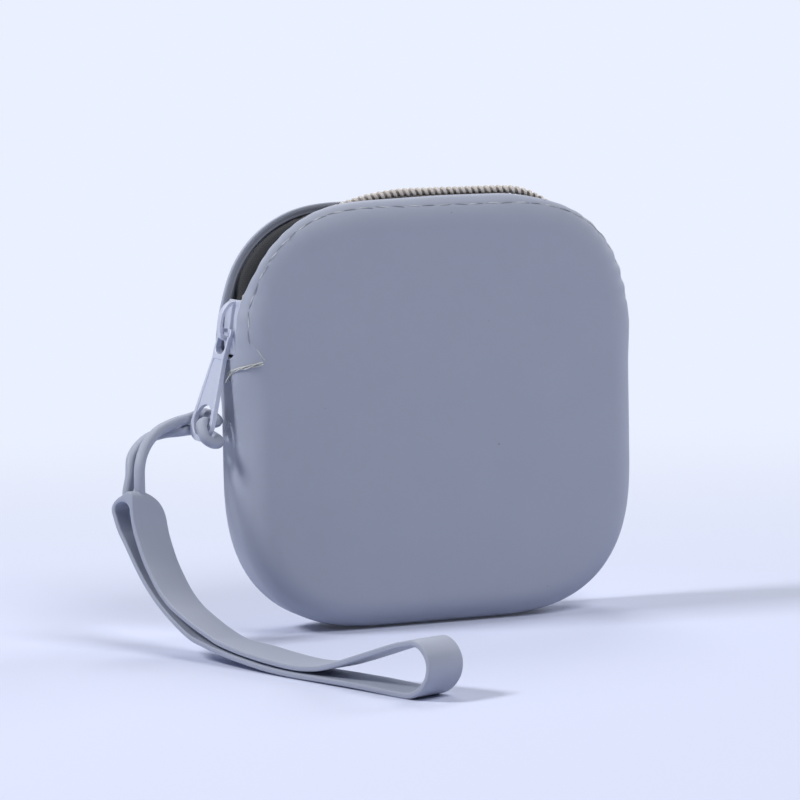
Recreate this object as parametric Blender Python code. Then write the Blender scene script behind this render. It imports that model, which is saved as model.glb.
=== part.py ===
"""Silicone zip pouch with a cord wristlet, standing on its lower edge.

X is to the right, the front face looks to -Y, Z is up. The origin is the middle of
the flat strip that the pouch stands on. Lengths are in metres.

The shell is swept along its own outline. A place on it is given by three numbers:
how far along the outline, how deep below the outline, and how far across, to the
front or the back. The zip, its seams and its stops use the same three numbers.
"""
import bpy
import bmesh
import math
import numpy as np

# The pouch as a whole
pouch_width = 0.0950
pouch_height = 0.0950
pouch_depth = 0.0200
corner_reach = 0.0356
corner_power = 2.64
edge_fillet = 0.0070
wall = 0.0018
part_gap = 0.0003

# The slot for the zip, from low on the left side, over the top, to the right side.
# Drops are counted from the top of the pouch
slider_tail_drop = 0.0328
slot_end_margin = 0.0012
slot_right_drop = 0.0278
front_lip_reach = 0.0067
back_lip_reach = 0.0060
slider_lip_reach = 0.0056
lip_flat = 0.0004
lip_blend = 0.0120
lip_widening = 0.0100
lip_widening_start = 0.0120
lip_swell = 0.0005
front_swell_share = 0.3
swell_start = 0.0030
swell_run = 0.0120
back_lip_sag = 0.0017
sag_start = 0.0050
sag_run = 0.0260
sag_end_start = 0.0150
sag_end_run = 0.0150
body_step = 0.0062
mouth_step = 0.0034
slot_end_radius = 0.0022
slot_end_step = 0.0006
slot_end_steps = 5

# The zip
tape_thickness = 0.00055
tape_flat_width = 0.0036
tape_overlap_end = 0.0030
coil_radius = 0.00115
coil_valley_radius = 0.00088
coil_pitch = 0.0015
coil_spread = 0.0026
coil_lip_distance = 0.0019
coil_rise = 0.00065
coil_tuck = 0.0026
coil_end_margin = 0.0078
coil_show_start_share = 0.24
coil_show_run_share = 0.16
coil_hide_start_share = 0.66
coil_hide_run_share = 0.14
tape_turn_shares = (0.5, 0.7, 0.88)
tape_turn_depth = 0.0028
tape_turn_distance = 0.0008
slit_reach = 0.0053

# The slider runs on an arc about this axis
track_center_inset = 0.0295
track_center_rise = 0.0033
track_proud = 0.0006
chain_depth = 0.0041
row_travel_run = 0.0220
row_parting_run = 0.0150
slider_length = 0.0112
slider_half_width = 0.00475
slider_wall = 0.0008
slider_wall_stub = 0.0001
slider_corner = 0.0014
slider_corner_steps = 3
slider_steps = 6
plate_thickness = 0.00105
plate_depth = 0.0016
slit_height = 0.0010
post_half_width = 0.0011
post_length = 0.0045
post_setback = 0.0012
bridge_width = 0.0020
bridge_thickness = 0.0008
bridge_rise = 0.0030
bridge_foot_share = 0.26
bridge_nose_share = 0.975
bridge_top_share = 0.42
bridge_tail_power = 4.0
bridge_nose_power = 2.0
bridge_steps = 10
overrun = 0.0002

# The puller
pivot_height = 0.0011
pivot_along = 0.00495
pivot_across = -0.0003
puller_length = 0.02495
puller_head_above = 0.00045
puller_thickness = 0.0012
puller_head_thickness = 0.0007
puller_head_width = 0.0046
puller_head_corner_share = 0.35
puller_neck_width = 0.0043
puller_neck_start = 0.0064
puller_tail_width = 0.0082
puller_foot_drop = 0.0230
puller_foot_out = 0.0067
puller_foot_side = 0.0004
puller_twist_degrees = 14.0
head_hole_width = 0.0034
head_hole_length = 0.0050
head_hole_corner_share = 0.12
head_bar = 0.00088
eyelet_radius = 0.0031
eyelet_length = 0.0069
eyelet_offset = 0.0006
panel_depth = 0.00025
panel_start = 0.0065
panel_rim = 0.0006
tail_steps = 8
eyelet_steps = 20

# The strap
cord_diameter = 0.0024
band_width = 0.0092
band_thickness = 0.0012
band_heading_degrees = 20.0
band_near_offset = -0.07222
band_shoulder = 0.0036
band_shoulder_offset = 0.0012
band_tilt = 0.0014
tilt_start = -0.0200
tilt_start_run = 0.0060
tilt_end = 0.0060
tilt_end_run = 0.0160
cord_spacing_share = 0.9
route_steps = 12

# Stops and stitches
stop_length = 0.0014
stop_half_width = 0.0024
top_stop_length = 0.0028
top_stop_width = 0.0026
stop_corner_share = 0.7
stitch_radius = 0.00022
stitch_step = 0.0030
stitch_depth = 0.0021
stitch_swing_share = 0.75
stitch_sag_share = 0.8
stitch_start_margin = 0.0001
stitch_end_margin = 0.0008
bartack_radius = 0.00030
bartack_drop = 0.0040
bartack_gap = 0.0009
bartack_end_across = 0.0008
bartack_end_drop = 0.0022
bartack_steps = 8

profile_steps = 6
lining_steps = 4
corner_steps = 60


def smooth_share(value):
    value = min(max(value, 0.0), 1.0)
    return value * value * (3.0 - 2.0 * value)


def mix(first, second, share):
    return first + (second - first) * share


# The outline of the pouch, from the left end of its flat foot, round by the left

def corner_points(side_x, side_z, ends):
    """One rounded corner as points and outward directions, from one end to the other."""
    center_x = side_x * (pouch_width / 2 - corner_reach)
    center_z = pouch_height / 2 + side_z * (pouch_height / 2 - corner_reach)
    rows = []
    for step in range(corner_steps + 1):
        turn = mix(ends[0], ends[1], step / corner_steps) * math.pi / 2
        across = max(math.cos(turn), 0.0) ** (2 / corner_power)
        along = max(math.sin(turn), 0.0) ** (2 / corner_power)
        normal = (side_x * across ** (corner_power - 1), side_z * along ** (corner_power - 1))
        size = math.hypot(normal[0], normal[1])
        rows.append((center_x + side_x * corner_reach * across,
                     center_z + side_z * corner_reach * along,
                     normal[0] / size, normal[1] / size))
    return rows


outline_rows = (corner_points(-1, -1, (1, 0)) + corner_points(-1, 1, (0, 1))
                + corner_points(1, 1, (1, 0)) + corner_points(1, -1, (0, 1)))
outline = np.array(outline_rows + outline_rows[:1])
outline_along = np.concatenate([[0], np.cumsum(np.hypot(np.diff(outline[:, 0]),
                                                        np.diff(outline[:, 1])))])
outline_length = outline_along[-1]


def outline_at(along):
    """Point and outward direction in X and Z, a distance along the outline."""
    row = [np.interp(along % outline_length, outline_along, outline[:, k]) for k in range(4)]
    size = math.hypot(row[2], row[3])
    return row[0], row[1], row[2] / size, row[3] / size


def along_at_height(side, height):
    """Distance along the outline where its left or right side has this height."""
    quarter = 2 * (corner_steps + 1)
    rows = slice(0, quarter) if side < 0 else slice(quarter, 2 * quarter)
    heights = outline[rows, 1]
    places = outline_along[rows]
    order = np.argsort(heights)
    return float(np.interp(height, heights[order], places[order]))


slider_tail_height = pouch_height - slider_tail_drop
slot_left_height = slider_tail_height - slot_end_margin
slot_right_height = pouch_height - slot_right_drop
slot_left = along_at_height(-1, slot_left_height)
slot_right = along_at_height(1, slot_right_height)
track_center = (-pouch_width / 2 + track_center_inset, slider_tail_height + track_center_rise)


def depth_on_circle(along, radius):
    """How deep below the outline a circle about the slider's axis runs."""
    x, z, out_x, out_z = outline_at(along)
    reach_x, reach_z = x - track_center[0], z - track_center[1]
    inward = -(reach_x * out_x + reach_z * out_z)
    room = inward ** 2 - (reach_x ** 2 + reach_z ** 2 - radius ** 2)
    return -inward - math.sqrt(max(room, 0.0))


def place(along, depth, across):
    x, z, out_x, out_z = outline_at(along)
    return (x - out_x * depth, across, z - out_z * depth)


# The two lips of the mouth

def lip_center(along, side):
    """How far from the middle plane the rounded edge of the shell starts, and its swell."""
    closed = pouch_depth / 2 - edge_fillet
    from_left = along - slot_left
    from_right = slot_right - along
    full = front_lip_reach if side < 0 else back_lip_reach
    widen = smooth_share((from_left - lip_widening_start) / lip_widening)
    reach = mix(slider_lip_reach, full, widen)
    open_share = min(smooth_share((from_left + lip_blend) / lip_blend),
                     smooth_share((from_right + lip_blend) / lip_blend))
    swell = lip_swell * smooth_share((from_left + lip_blend) / lip_blend)
    swell *= 1 - smooth_share((from_left - swell_start) / swell_run)
    if side < 0:
        swell *= front_swell_share
    else:
        sag_in = smooth_share((from_left - sag_start) / sag_run)
        sag_out = smooth_share((from_right - sag_end_start) / sag_end_run)
        swell -= back_lip_sag * sag_in * sag_out
    return mix(closed, reach, open_share), swell


def lip_edge(along, side):
    """How far the lip's edge stands from the middle plane: nothing where the shell is whole."""
    center, swell = lip_center(along, side)
    nearest = min(along - slot_left, slot_right - along)
    if nearest <= part_gap:
        return 0.0
    round_run = min(nearest / slot_end_radius, 1.0)
    return (center - lip_flat) * math.sqrt(1 - (1 - round_run) ** 2)


def shell_point(along, side, share, inset):
    """A point of the shell's rounded edge: share 0 is beside the lip, 1 is on the face."""
    center, swell = lip_center(along, side)
    turn = share * math.pi / 2
    depth = edge_fillet - (edge_fillet + swell - inset) * math.cos(turn)
    across = center + (pouch_depth / 2 - center - inset) * math.sin(turn)
    return depth, side * across


# Mesh helpers

def new_object(name, mesh_data, material):
    mesh = bpy.data.meshes.new(name)
    mesh_data.to_mesh(mesh)
    mesh_data.free()
    part = bpy.data.objects.new(name, mesh)
    bpy.context.collection.objects.link(part)
    part.data.materials.append(material)
    return part


def make_material(name, colour, roughness, metallic):
    material = bpy.data.materials.new(name)
    material.use_nodes = True
    shader = material.node_tree.nodes["Principled BSDF"]
    shader.inputs["Base Color"].default_value = (*colour, 1.0)
    shader.inputs["Roughness"].default_value = roughness
    shader.inputs["Metallic"].default_value = metallic
    return material


def loft(rings, closed_rings=True, closed_length=False):
    """A closed skin through rings of points, with flat ends where the length is open."""
    mesh_data = bmesh.new()
    rows = [[mesh_data.verts.new(point) for point in ring] for ring in rings]
    pairs = list(zip(rows, rows[1:] + rows[:1])) if closed_length else list(zip(rows, rows[1:]))
    for first, second in pairs:
        count = len(first)
        for k in range(count if closed_rings else count - 1):
            after = (k + 1) % count
            mesh_data.faces.new((first[k], first[after], second[after], second[k]))
    if not closed_length:
        mesh_data.faces.new(list(reversed(rows[0])))
        mesh_data.faces.new(rows[-1])
    bmesh.ops.recalc_face_normals(mesh_data, faces=mesh_data.faces)
    return mesh_data


def ring_about(center, first_axis, second_axis, radius, sides):
    """A ring of points round a centre, in the plane of two axes."""
    center, first_axis, second_axis = np.array(center), np.array(first_axis), np.array(second_axis)
    turns = [2 * math.pi * k / sides for k in range(sides)]
    return [center + (first_axis * math.cos(t) + second_axis * math.sin(t)) * radius for t in turns]


def cut(target, cutter):
    cutter.hide_render = True
    cutter.display_type = "WIRE"
    modifier = target.modifiers.new("cut_" + cutter.name, "BOOLEAN")
    modifier.operation = "DIFFERENCE"
    modifier.object = cutter


def join(target, addition):
    addition.hide_render = True
    addition.display_type = "WIRE"
    modifier = target.modifiers.new("join_" + addition.name, "BOOLEAN")
    modifier.operation = "UNION"
    modifier.object = addition


# The moulded shell

def build_pouch_body(material):
    """One silicone shell with a cavity and a long slot for the zip."""
    foot_right = outline_length - (pouch_width - 2 * corner_reach)
    right_count = round((foot_right - slot_right) / body_step)
    left_count = round(slot_left / body_step)
    end_run = slot_end_step * slot_end_steps
    middle_run = slot_right - slot_left - 2 * end_run
    middle_count = round(middle_run / mouth_step)
    closed_places = [mix(slot_right, foot_right, k / right_count) for k in range(right_count + 1)]
    closed_places += [outline_length + slot_left * k / left_count for k in range(left_count)]
    mouth_places = [slot_left + slot_end_step * k for k in range(slot_end_steps)]
    mouth_places += [slot_left + end_run + middle_run * k / middle_count
                     for k in range(middle_count + 1)]
    mouth_places += [slot_right - slot_end_step * k for k in range(slot_end_steps - 1, 0, -1)]
    places = closed_places + [outline_length + along for along in mouth_places]
    count = len(places)
    mesh_data = bmesh.new()
    rows = {}
    for side in (-1, 1):
        for skin, inset, steps in (("outer", 0.0, profile_steps), ("inner", wall, lining_steps)):
            for k, long_place in enumerate(places):
                along = long_place % outline_length
                edge = lip_edge(along, side)
                swell = lip_center(along, side)[1]
                if side > 0 and edge == 0:
                    row = [rows[-1, skin][k][0]]
                else:
                    row = [mesh_data.verts.new(place(along, inset - swell, side * edge))]
                for step in range(steps + 1):
                    depth, across = shell_point(along, side, step / steps, inset)
                    row.append(mesh_data.verts.new(place(along, depth, across)))
                rows.setdefault((side, skin), []).append(row)
    for band in rows.values():
        for k in range(count):
            first, second = band[k], band[(k + 1) % count]
            for step in range(len(first) - 1):
                mesh_data.faces.new((first[step], first[step + 1], second[step + 1], second[step]))
        mesh_data.faces.new([row[-1] for row in band])
    for side in (-1, 1):
        for k in range(count):
            after = (k + 1) % count
            outer = rows[side, "outer"][k][0], rows[side, "outer"][after][0]
            inner = rows[side, "inner"][k][0], rows[side, "inner"][after][0]
            if abs(outer[0].co.y) + abs(outer[1].co.y) > 0:
                mesh_data.faces.new((outer[0], outer[1], inner[1], inner[0]))
    bmesh.ops.recalc_face_normals(mesh_data, faces=mesh_data.faces)
    body = new_object("pouch_body", mesh_data, material)
    body.data.shade_smooth()
    return body


# The zip's two rows

track_radius = track_center_inset + track_proud
chain_radius = track_radius - chain_depth


def zip_row(along, side):
    """Depth and distance across of a row's coil and of the place where its tape turns."""
    run = slot_right - slot_left
    part_way = (along - slot_left) / run
    on_track = depth_on_circle(along, chain_radius)
    lip, swell = lip_center(along, side)
    shown = smooth_share((part_way - coil_show_start_share) / coil_show_run_share)
    shown *= 1 - smooth_share((part_way - coil_hide_start_share) / coil_hide_run_share)
    free_depth = mix(coil_tuck, -coil_rise, shown) - min(swell, 0.0)
    apart = smooth_share((along - slot_left - row_travel_run) / row_parting_run)
    coil_depth = mix(on_track, free_depth, apart)
    coil_across = mix(coil_spread, lip - coil_lip_distance, apart)
    turn_depth = mix(on_track, max(tape_turn_depth - min(swell, 0.0), coil_depth), apart)
    turn_across = mix(slit_reach, lip - tape_turn_distance, apart)
    return coil_depth, coil_across, turn_depth, turn_across


def tape_line(along, side):
    """The tape's middle line across the zip, from the coil to its inner edge."""
    coil_depth, coil_across, turn_depth, turn_across = zip_row(along, side)
    step_depth, step_across = turn_depth - coil_depth, turn_across - coil_across
    size = math.hypot(step_depth, step_across)
    reach = (coil_radius + part_gap) / size
    line = [(coil_depth + step_depth * reach, coil_across + step_across * reach)]
    line.append((turn_depth, turn_across))
    inset = wall + part_gap + tape_thickness / 2
    for share in tape_turn_shares:
        depth, across = shell_point(along, side, share, inset)
        line.append((max(depth, turn_depth), abs(across)))
    depth, across = shell_point(along, side, 1.0, inset)
    line.append((depth + tape_flat_width, abs(across)))
    return line


def thicken(line, thickness):
    """Both faces of a thin strip whose middle line is given, as one ring of points."""
    points = np.array(line)
    directions = np.gradient(points, axis=0)
    directions /= np.linalg.norm(directions, axis=1)[:, None]
    normals = np.column_stack([-directions[:, 1], directions[:, 0]])
    one_face = points + normals * thickness / 2
    other_face = points - normals * thickness / 2
    return np.vstack([one_face, other_face[::-1]])


def build_tape(name, side, material):
    """A woven tape that follows the inside of the lip and carries its coil."""
    start, end = slot_left - tape_overlap_end, slot_right + tape_overlap_end
    count = round((end - start) / (2 * mouth_step))
    rings = []
    for k in range(count + 1):
        along = mix(start, end, k / count)
        section = thicken(tape_line(along, side), tape_thickness)
        rings.append([place(along, depth, side * across) for depth, across in section])
    tape = new_object(name, loft(rings), material)
    return tape


def build_coil(name, side, material):
    """A row of coil teeth, as a bar with one ridge for each turn of the coil."""
    start = along_at_height(-1, slider_tail_height)
    end = slot_right - coil_end_margin
    count = 2 * round((end - start) / coil_pitch)
    rings = []
    for k in range(count + 1):
        along = mix(start, end, k / count)
        coil_depth, coil_across = zip_row(along, side)[:2]
        x, z, out_x, out_z = outline_at(along)
        radius = coil_valley_radius if k % 2 else coil_radius
        center = place(along, coil_depth, side * coil_across)
        rings.append(ring_about(center, (out_x, 0, out_z), (0, 1, 0), radius, 6))
    return new_object(name, loft(rings), material)


def build_track_block(name, along_range, depth, across_range, height, material):
    """A small block that sits on the zip, square to the outline."""
    rings = []
    for along in along_range:
        ring = []
        for down, across in ((-1, 0), (1, 0), (1, 1), (-1, 1)):
            ring.append(place(along, depth + down * height / 2, across_range[across]))
        rings.append(ring)
    return new_object(name, loft(rings), material)


def build_stops(material):
    """The metal stop that joins both rows at the closed end, and one stop at each other end."""
    top = along_at_height(-1, slider_tail_height) - part_gap
    middle = depth_on_circle(top, chain_radius)
    build_track_block("bottom_stop", (top - stop_length, top), middle,
                      (-stop_half_width, stop_half_width), coil_radius * 2, material)
    start = slot_right - coil_end_margin + part_gap
    for name, side in (("top_stop_front", -1), ("top_stop_back", 1)):
        coil_depth, coil_across = zip_row(start, side)[:2]
        inner = coil_across - top_stop_width / 2
        outer = coil_across + coil_radius * stop_corner_share
        build_track_block(name, (start, start + top_stop_length), coil_depth,
                          (side * inner, side * outer), coil_radius * 2 * stop_corner_share,
                          material)


# The slider

def track_point(along, depth, across):
    """A place on the slider: along its length from the tail, below the track circle, across."""
    tail_turn = math.asin((slider_tail_height - track_center[1]) / chain_radius)
    turn = tail_turn + along / chain_radius
    radius = track_radius - depth
    return (track_center[0] - radius * math.cos(turn), across,
            track_center[1] + radius * math.sin(turn))


def arc_block(name, along_range, across_range, depth_range, material, steps=2):
    """A block bent round the slider's axis."""
    rings = []
    for k in range(steps + 1):
        along = mix(along_range[0], along_range[1], k / steps)
        corners = ((0, 0), (0, 1), (1, 1), (1, 0))
        rings.append([track_point(along, depth_range[down], across_range[over])
                      for down, over in corners])
    return new_object(name, loft(rings), material)


def plate_channel(name, outside, inside, tip, material):
    """One plate of the slider with a wall along each side, its plan corners rounded."""
    corner_runs = [slider_corner * (1 - math.cos(math.pi / 2 * k / slider_corner_steps))
                   for k in range(slider_corner_steps)]
    middle_runs = [mix(slider_corner, slider_length - slider_corner, k / slider_steps)
                   for k in range(slider_steps + 1)]
    end_runs = [slider_length - run for run in reversed(corner_runs)]
    rings = []
    for run in corner_runs + middle_runs + end_runs:
        from_end = min(run, slider_length - run, slider_corner)
        drop = slider_corner - math.sqrt(slider_corner ** 2 - (slider_corner - from_end) ** 2)
        outer = slider_half_width - drop
        inner = outer - slider_wall
        end = tip
        if from_end < slider_corner:
            end = inside + math.copysign(slider_wall_stub, tip - inside)
        line = ((outside, -outer), (outside, outer), (end, outer), (end, inner),
                (inside, inner), (inside, -inner), (end, -inner), (end, -outer))
        rings.append([track_point(run, depth, across) for depth, across in line])
    return new_object(name, loft(rings), material)


def bridge_height(share):
    """The arch's height as a share of its full height: steep at the tail, easy at the nose."""
    if share < bridge_top_share:
        from_top = (bridge_top_share - share) / bridge_top_share
        power = bridge_tail_power
    else:
        from_top = (share - bridge_top_share) / (1 - bridge_top_share)
        power = bridge_nose_power
    return max(1 - from_top ** power, 0.0) ** (1 / power)


def bridge_line(setback):
    """One side of the arch that holds the puller: run along the slider, height."""
    start = slider_length * bridge_foot_share + setback
    end = slider_length * bridge_nose_share - setback
    line = [(start, -overrun)]
    for k in range(1, bridge_steps):
        share = (1 - math.cos(math.pi * k / bridge_steps)) / 2
        line.append((mix(start, end, share), (bridge_rise - setback) * bridge_height(share)))
    line.append((end, -overrun))
    return line


def build_slider(material):
    """One casting: an upper and a lower plate with side walls, a post and an arch."""
    upper_under = plate_depth + plate_thickness
    lower_top = 2 * chain_depth - upper_under
    body = plate_channel("slider_body", plate_depth, upper_under,
                         chain_depth - slit_height / 2, material)
    lower = plate_channel("slider_lower_plate", lower_top + plate_thickness, lower_top,
                          chain_depth + slit_height / 2, material)
    post_run = (slider_length - post_length, slider_length - post_setback)
    post = arc_block("slider_post", post_run, (-post_half_width, post_half_width),
                     (upper_under - overrun, lower_top + overrun), material)
    rings = []
    for outside, inside in zip(bridge_line(0.0), bridge_line(bridge_thickness)):
        ring = []
        for (run, rise), side in ((outside, -1), (outside, 1), (inside, 1), (inside, -1)):
            ring.append(track_point(run, plate_depth - rise, side * bridge_width / 2))
        rings.append(ring)
    bridge = new_object("slider_bridge", loft(rings), material)
    for addition in (post, lower, bridge):
        join(body, addition)
    return body


# The puller

def unit(vector):
    vector = np.array(vector, dtype=float)
    return vector / np.linalg.norm(vector)


pivot = np.array(track_point(pivot_along, plate_depth - pivot_height, pivot_across))
puller_down = unit((-puller_foot_out, puller_foot_side, -puller_foot_drop))
puller_flat_out = unit(np.cross((0, 1, 0), puller_down))
if puller_flat_out[0] > 0:
    puller_flat_out = -puller_flat_out
puller_flat_side = unit(np.cross(puller_down, puller_flat_out))
if puller_flat_side[1] < 0:
    puller_flat_side = -puller_flat_side
twist = math.radians(puller_twist_degrees)
puller_out = unit(puller_flat_out * math.cos(twist) - puller_flat_side * math.sin(twist))
puller_side = unit(puller_flat_side * math.cos(twist) + puller_flat_out * math.sin(twist))


def puller_point(down, side, out):
    """A place on the puller: down from its pivot, sideways to the back, and outwards."""
    return pivot + puller_down * down + puller_side * side + puller_out * out


tail_center = puller_length - puller_tail_width / 2
eyelet_center = tail_center - eyelet_offset


def puller_outline():
    """The puller's outline, seen flat: a square head, a slim neck and a round tail."""
    head = puller_head_width / 2
    tail = puller_tail_width / 2
    corner = head * puller_head_corner_share
    bevel = corner * (1 - math.sqrt(1 / 2))
    side = [(-puller_head_above, head - corner), (bevel - puller_head_above, head - bevel),
            (corner - puller_head_above, head), (head_hole_length, head),
            (puller_neck_start, puller_neck_width / 2)]
    for k in range(tail_steps):
        turn = math.pi / 2 * (1 - k / tail_steps)
        side.append((tail_center + tail * math.cos(turn), tail * math.sin(turn)))
    return side + [(puller_length, 0.0)] + [(down, -across) for down, across in reversed(side)]


def flat_block(name, points, out_range, material):
    rings = [[puller_point(down, side, out) for down, side in points] for out in out_range]
    return new_object(name, loft(rings), material)


def rounded_slot(center_down, half_length, half_width, corner, steps=3):
    """A rounded rectangle on the puller, as points down and across."""
    points = []
    for sign_down, sign_side in ((1, 1), (1, -1), (-1, -1), (-1, 1)):
        for k in range(steps + 1):
            turn = math.pi / 2 * k / steps
            if sign_down * sign_side < 0:
                turn = math.pi / 2 - turn
            points.append((center_down + sign_down * (half_length - corner + corner * math.sin(turn)),
                           sign_side * (half_width - corner + corner * math.cos(turn))))
    return points


def build_puller(material):
    """A flat metal tab with a square eye for the slider and a round one for the strap."""
    half = puller_thickness / 2
    puller = flat_block("puller", puller_outline(), (-half, half), material)
    beyond = half + overrun
    hole_center = head_bar - puller_head_above + head_hole_length / 2
    hole = rounded_slot(hole_center, head_hole_length / 2, head_hole_width / 2,
                        head_hole_width * head_hole_corner_share)
    cutters = [flat_block("puller_head_hole", hole, (-beyond, beyond), material)]
    ring = []
    for k in range(eyelet_steps):
        turn = 2 * math.pi * k / eyelet_steps
        ring.append((eyelet_center + eyelet_length / 2 * math.cos(turn),
                     eyelet_radius * math.sin(turn)))
    cutters.append(flat_block("puller_eyelet", ring, (-beyond, beyond), material))
    panel_head = puller_neck_width / 2 - panel_rim
    panel_foot = eyelet_radius
    panel = [(panel_start, panel_head), (eyelet_center, panel_foot),
             (eyelet_center, -panel_foot), (panel_start, -panel_head)]
    cutters.append(flat_block("puller_recess", panel, (half - panel_depth, beyond), material))
    relief_end = head_bar + puller_head_above
    wide = puller_head_width
    relief = [(-head_bar * 2, -wide), (-head_bar * 2, wide), (relief_end, wide),
              (relief_end, -wide)]
    for side, word in ((-1, "in"), (1, "out")):
        span = sorted((side * puller_head_thickness / 2, side * beyond))
        cutters.append(flat_block("puller_relief_" + word, relief, span, material))
    for cutter in cutters:
        cut(puller, cutter)
    return puller


# The strap

heading = math.radians(band_heading_degrees)
band_side = np.array((math.cos(heading), math.sin(heading), 0.0))
band_run = np.array((math.sin(heading), -math.cos(heading), 0.0))

# The side view of the band's closed loop, chosen by eye: forwards from the pouch, height
band_route = (
    (-0.0168, 0.0340), (-0.0190, 0.0331), (-0.0214, 0.0318), (-0.0227, 0.0302),
    (-0.0221, 0.0282), (-0.0207, 0.0255), (-0.0189, 0.0232), (-0.0164, 0.0198),
    (-0.0139, 0.0167), (-0.0109, 0.0136), (-0.0074, 0.0107), (-0.0030, 0.0078),
    (0.0022, 0.0051), (0.0070, 0.0039), (0.0120, 0.0029), (0.0190, 0.0019), (0.0270, 0.0011),
    (0.0350, 0.0008), (0.0460, 0.0009), (0.0560, 0.0009), (0.0640, 0.0007), (0.0695, 0.00065),
    (0.0722, 0.0012), (0.0745, 0.0027), (0.0761, 0.0047), (0.07665, 0.0069), (0.0763, 0.0086),
    (0.0753, 0.0100), (0.0739, 0.0110), (0.0722, 0.0114), (0.0703, 0.0111), (0.0669, 0.0103),
    (0.0615, 0.0086), (0.0560, 0.0068), (0.0504, 0.0050), (0.0448, 0.0034), (0.0405, 0.0027),
    (0.0350, 0.0024), (0.0270, 0.0028), (0.0190, 0.0036), (0.0120, 0.0048), (0.0084, 0.0059),
    (0.0034, 0.0077), (-0.0008, 0.0095), (-0.0040, 0.0111), (-0.0072, 0.0135),
    (-0.0099, 0.0165), (-0.0124, 0.0199), (-0.0141, 0.0231), (-0.0155, 0.0263),
    (-0.0163, 0.0297), (-0.0164, 0.0324))


def band_place(run, reach, height):
    """A place on the band: forwards from the pouch, sideways from its near edge, height."""
    flat = band_side * (band_near_offset + reach) + band_run * run
    return (flat[0], flat[1], height)


def band_tilt_at(run):
    """How far the band's far edge hangs below its near edge."""
    share = smooth_share((run - tilt_start) / tilt_start_run)
    share *= 1 - smooth_share((run - tilt_end) / tilt_end_run)
    return band_tilt * share


def build_band(material):
    """The flat wrist band, one closed loop of silicone folded nearly flat."""
    middle = np.array(band_route)
    directions = np.roll(middle, -1, axis=0) - np.roll(middle, 1, axis=0)
    directions /= np.linalg.norm(directions, axis=1)[:, None]
    normals = np.column_stack([-directions[:, 1], directions[:, 0]])
    top = middle[:, 1].max() + band_thickness / 2
    rings = []
    for point, normal in zip(middle, normals):
        from_top = max(top - point[1] - band_shoulder_offset, 0.0)
        drop = 0.0
        if from_top < band_shoulder:
            drop = band_shoulder - math.sqrt(band_shoulder ** 2 - (band_shoulder - from_top) ** 2)
        far = band_width - drop
        ring = []
        for face, reach in ((-1, 0.0), (-1, far), (1, far), (1, 0.0)):
            run, height = point + normal * face * band_thickness / 2
            height -= band_tilt_at(point[0]) * reach / band_width
            ring.append(band_place(run, reach, height))
        rings.append(ring)
    return new_object("strap_band", loft(rings, closed_length=True), material)


def build_cord(material):
    """The round cord: from the band, through the puller's eye and round its rim, and back."""
    front_leg = (
        (-0.0705, -0.0070, 0.0392), (-0.0692, -0.0055, 0.0422), (-0.0670, -0.0035, 0.0446),
        (-0.0636, -0.0005, 0.0464), (-0.0586, 0.0032, 0.0475), (-0.0543, 0.0062, 0.0479))
    # Places about the middle of the puller's eyelet: down, to the back, outwards
    hitch = (
        (-0.0013, 0.0046, -0.0026), (-0.0011, 0.0014, -0.0033), (-0.0005, -0.0009, -0.0029),
        (0.0002, -0.0010, -0.0012), (0.0005, -0.0007, 0.0004), (0.0015, -0.0013, 0.0020),
        (0.0030, -0.0024, 0.0023), (0.0045, -0.0034, 0.00175), (0.00495, -0.0037, 0.0000),
        (0.0047, -0.0036, -0.0017), (0.0040, -0.0024, -0.0032), (0.0033, 0.0002, -0.0041),
        (0.0028, 0.0029, -0.0037), (0.0026, 0.0053, -0.0019))
    through = [tuple(puller_point(eyelet_center + down, side, out)) for down, side, out in hitch]
    back_leg = (
        (-0.0575, 0.0057, 0.0452), (-0.0607, 0.0052, 0.0451), (-0.0648, 0.0036, 0.0444),
        (-0.0684, 0.0010, 0.0425), (-0.0707, -0.0015, 0.0404), (-0.0720, -0.0035, 0.0371))
    start = band_place(-0.0172, 0.0032, 0.0351)
    finish = band_place(-0.0212, 0.0021, 0.0336)
    route = [start] + list(front_leg) + through + list(back_leg) + [finish]
    points = smooth_route(route, cord_diameter * cord_spacing_share)
    curve = bpy.data.curves.new("strap_cord", "CURVE")
    curve.dimensions = "3D"
    curve.bevel_depth = cord_diameter / 2
    curve.bevel_resolution = 2
    curve.use_fill_caps = True
    spline = curve.splines.new("POLY")
    spline.points.add(len(points) - 1)
    for spot, point in zip(spline.points, points):
        spot.co = (*point, 1.0)
    cord = bpy.data.objects.new("strap_cord", curve)
    bpy.context.collection.objects.link(cord)
    curve.materials.append(material)
    return cord


def smooth_route(route, spacing):
    """Even points on a smooth curve through the route's own points."""
    points = np.array(route)
    padded = np.vstack([2 * points[0] - points[1], points, 2 * points[-1] - points[-2]])
    fine = []
    for k in range(1, len(padded) - 2):
        before, first, second, after = padded[k - 1:k + 3]
        for step in range(route_steps):
            t = step / route_steps
            fine.append(0.5 * (2 * first + (second - before) * t
                               + (2 * before - 5 * first + 4 * second - after) * t ** 2
                               + (3 * first - before - 3 * second + after) * t ** 3))
    fine.append(points[-1])
    fine = np.array(fine)
    along = np.concatenate([[0], np.cumsum(np.linalg.norm(np.diff(fine, axis=0), axis=1))])
    count = round(along[-1] / spacing)
    spots = np.linspace(0, along[-1], count + 1)
    return [tuple(np.interp(spot, along, fine[:, k]) for k in range(3)) for spot in spots]


# The seams

# A direction that no thread runs along, and the sides of a thread
thread_up = (0.3, 1.0, 0.2)
thread_sides = 4


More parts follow.
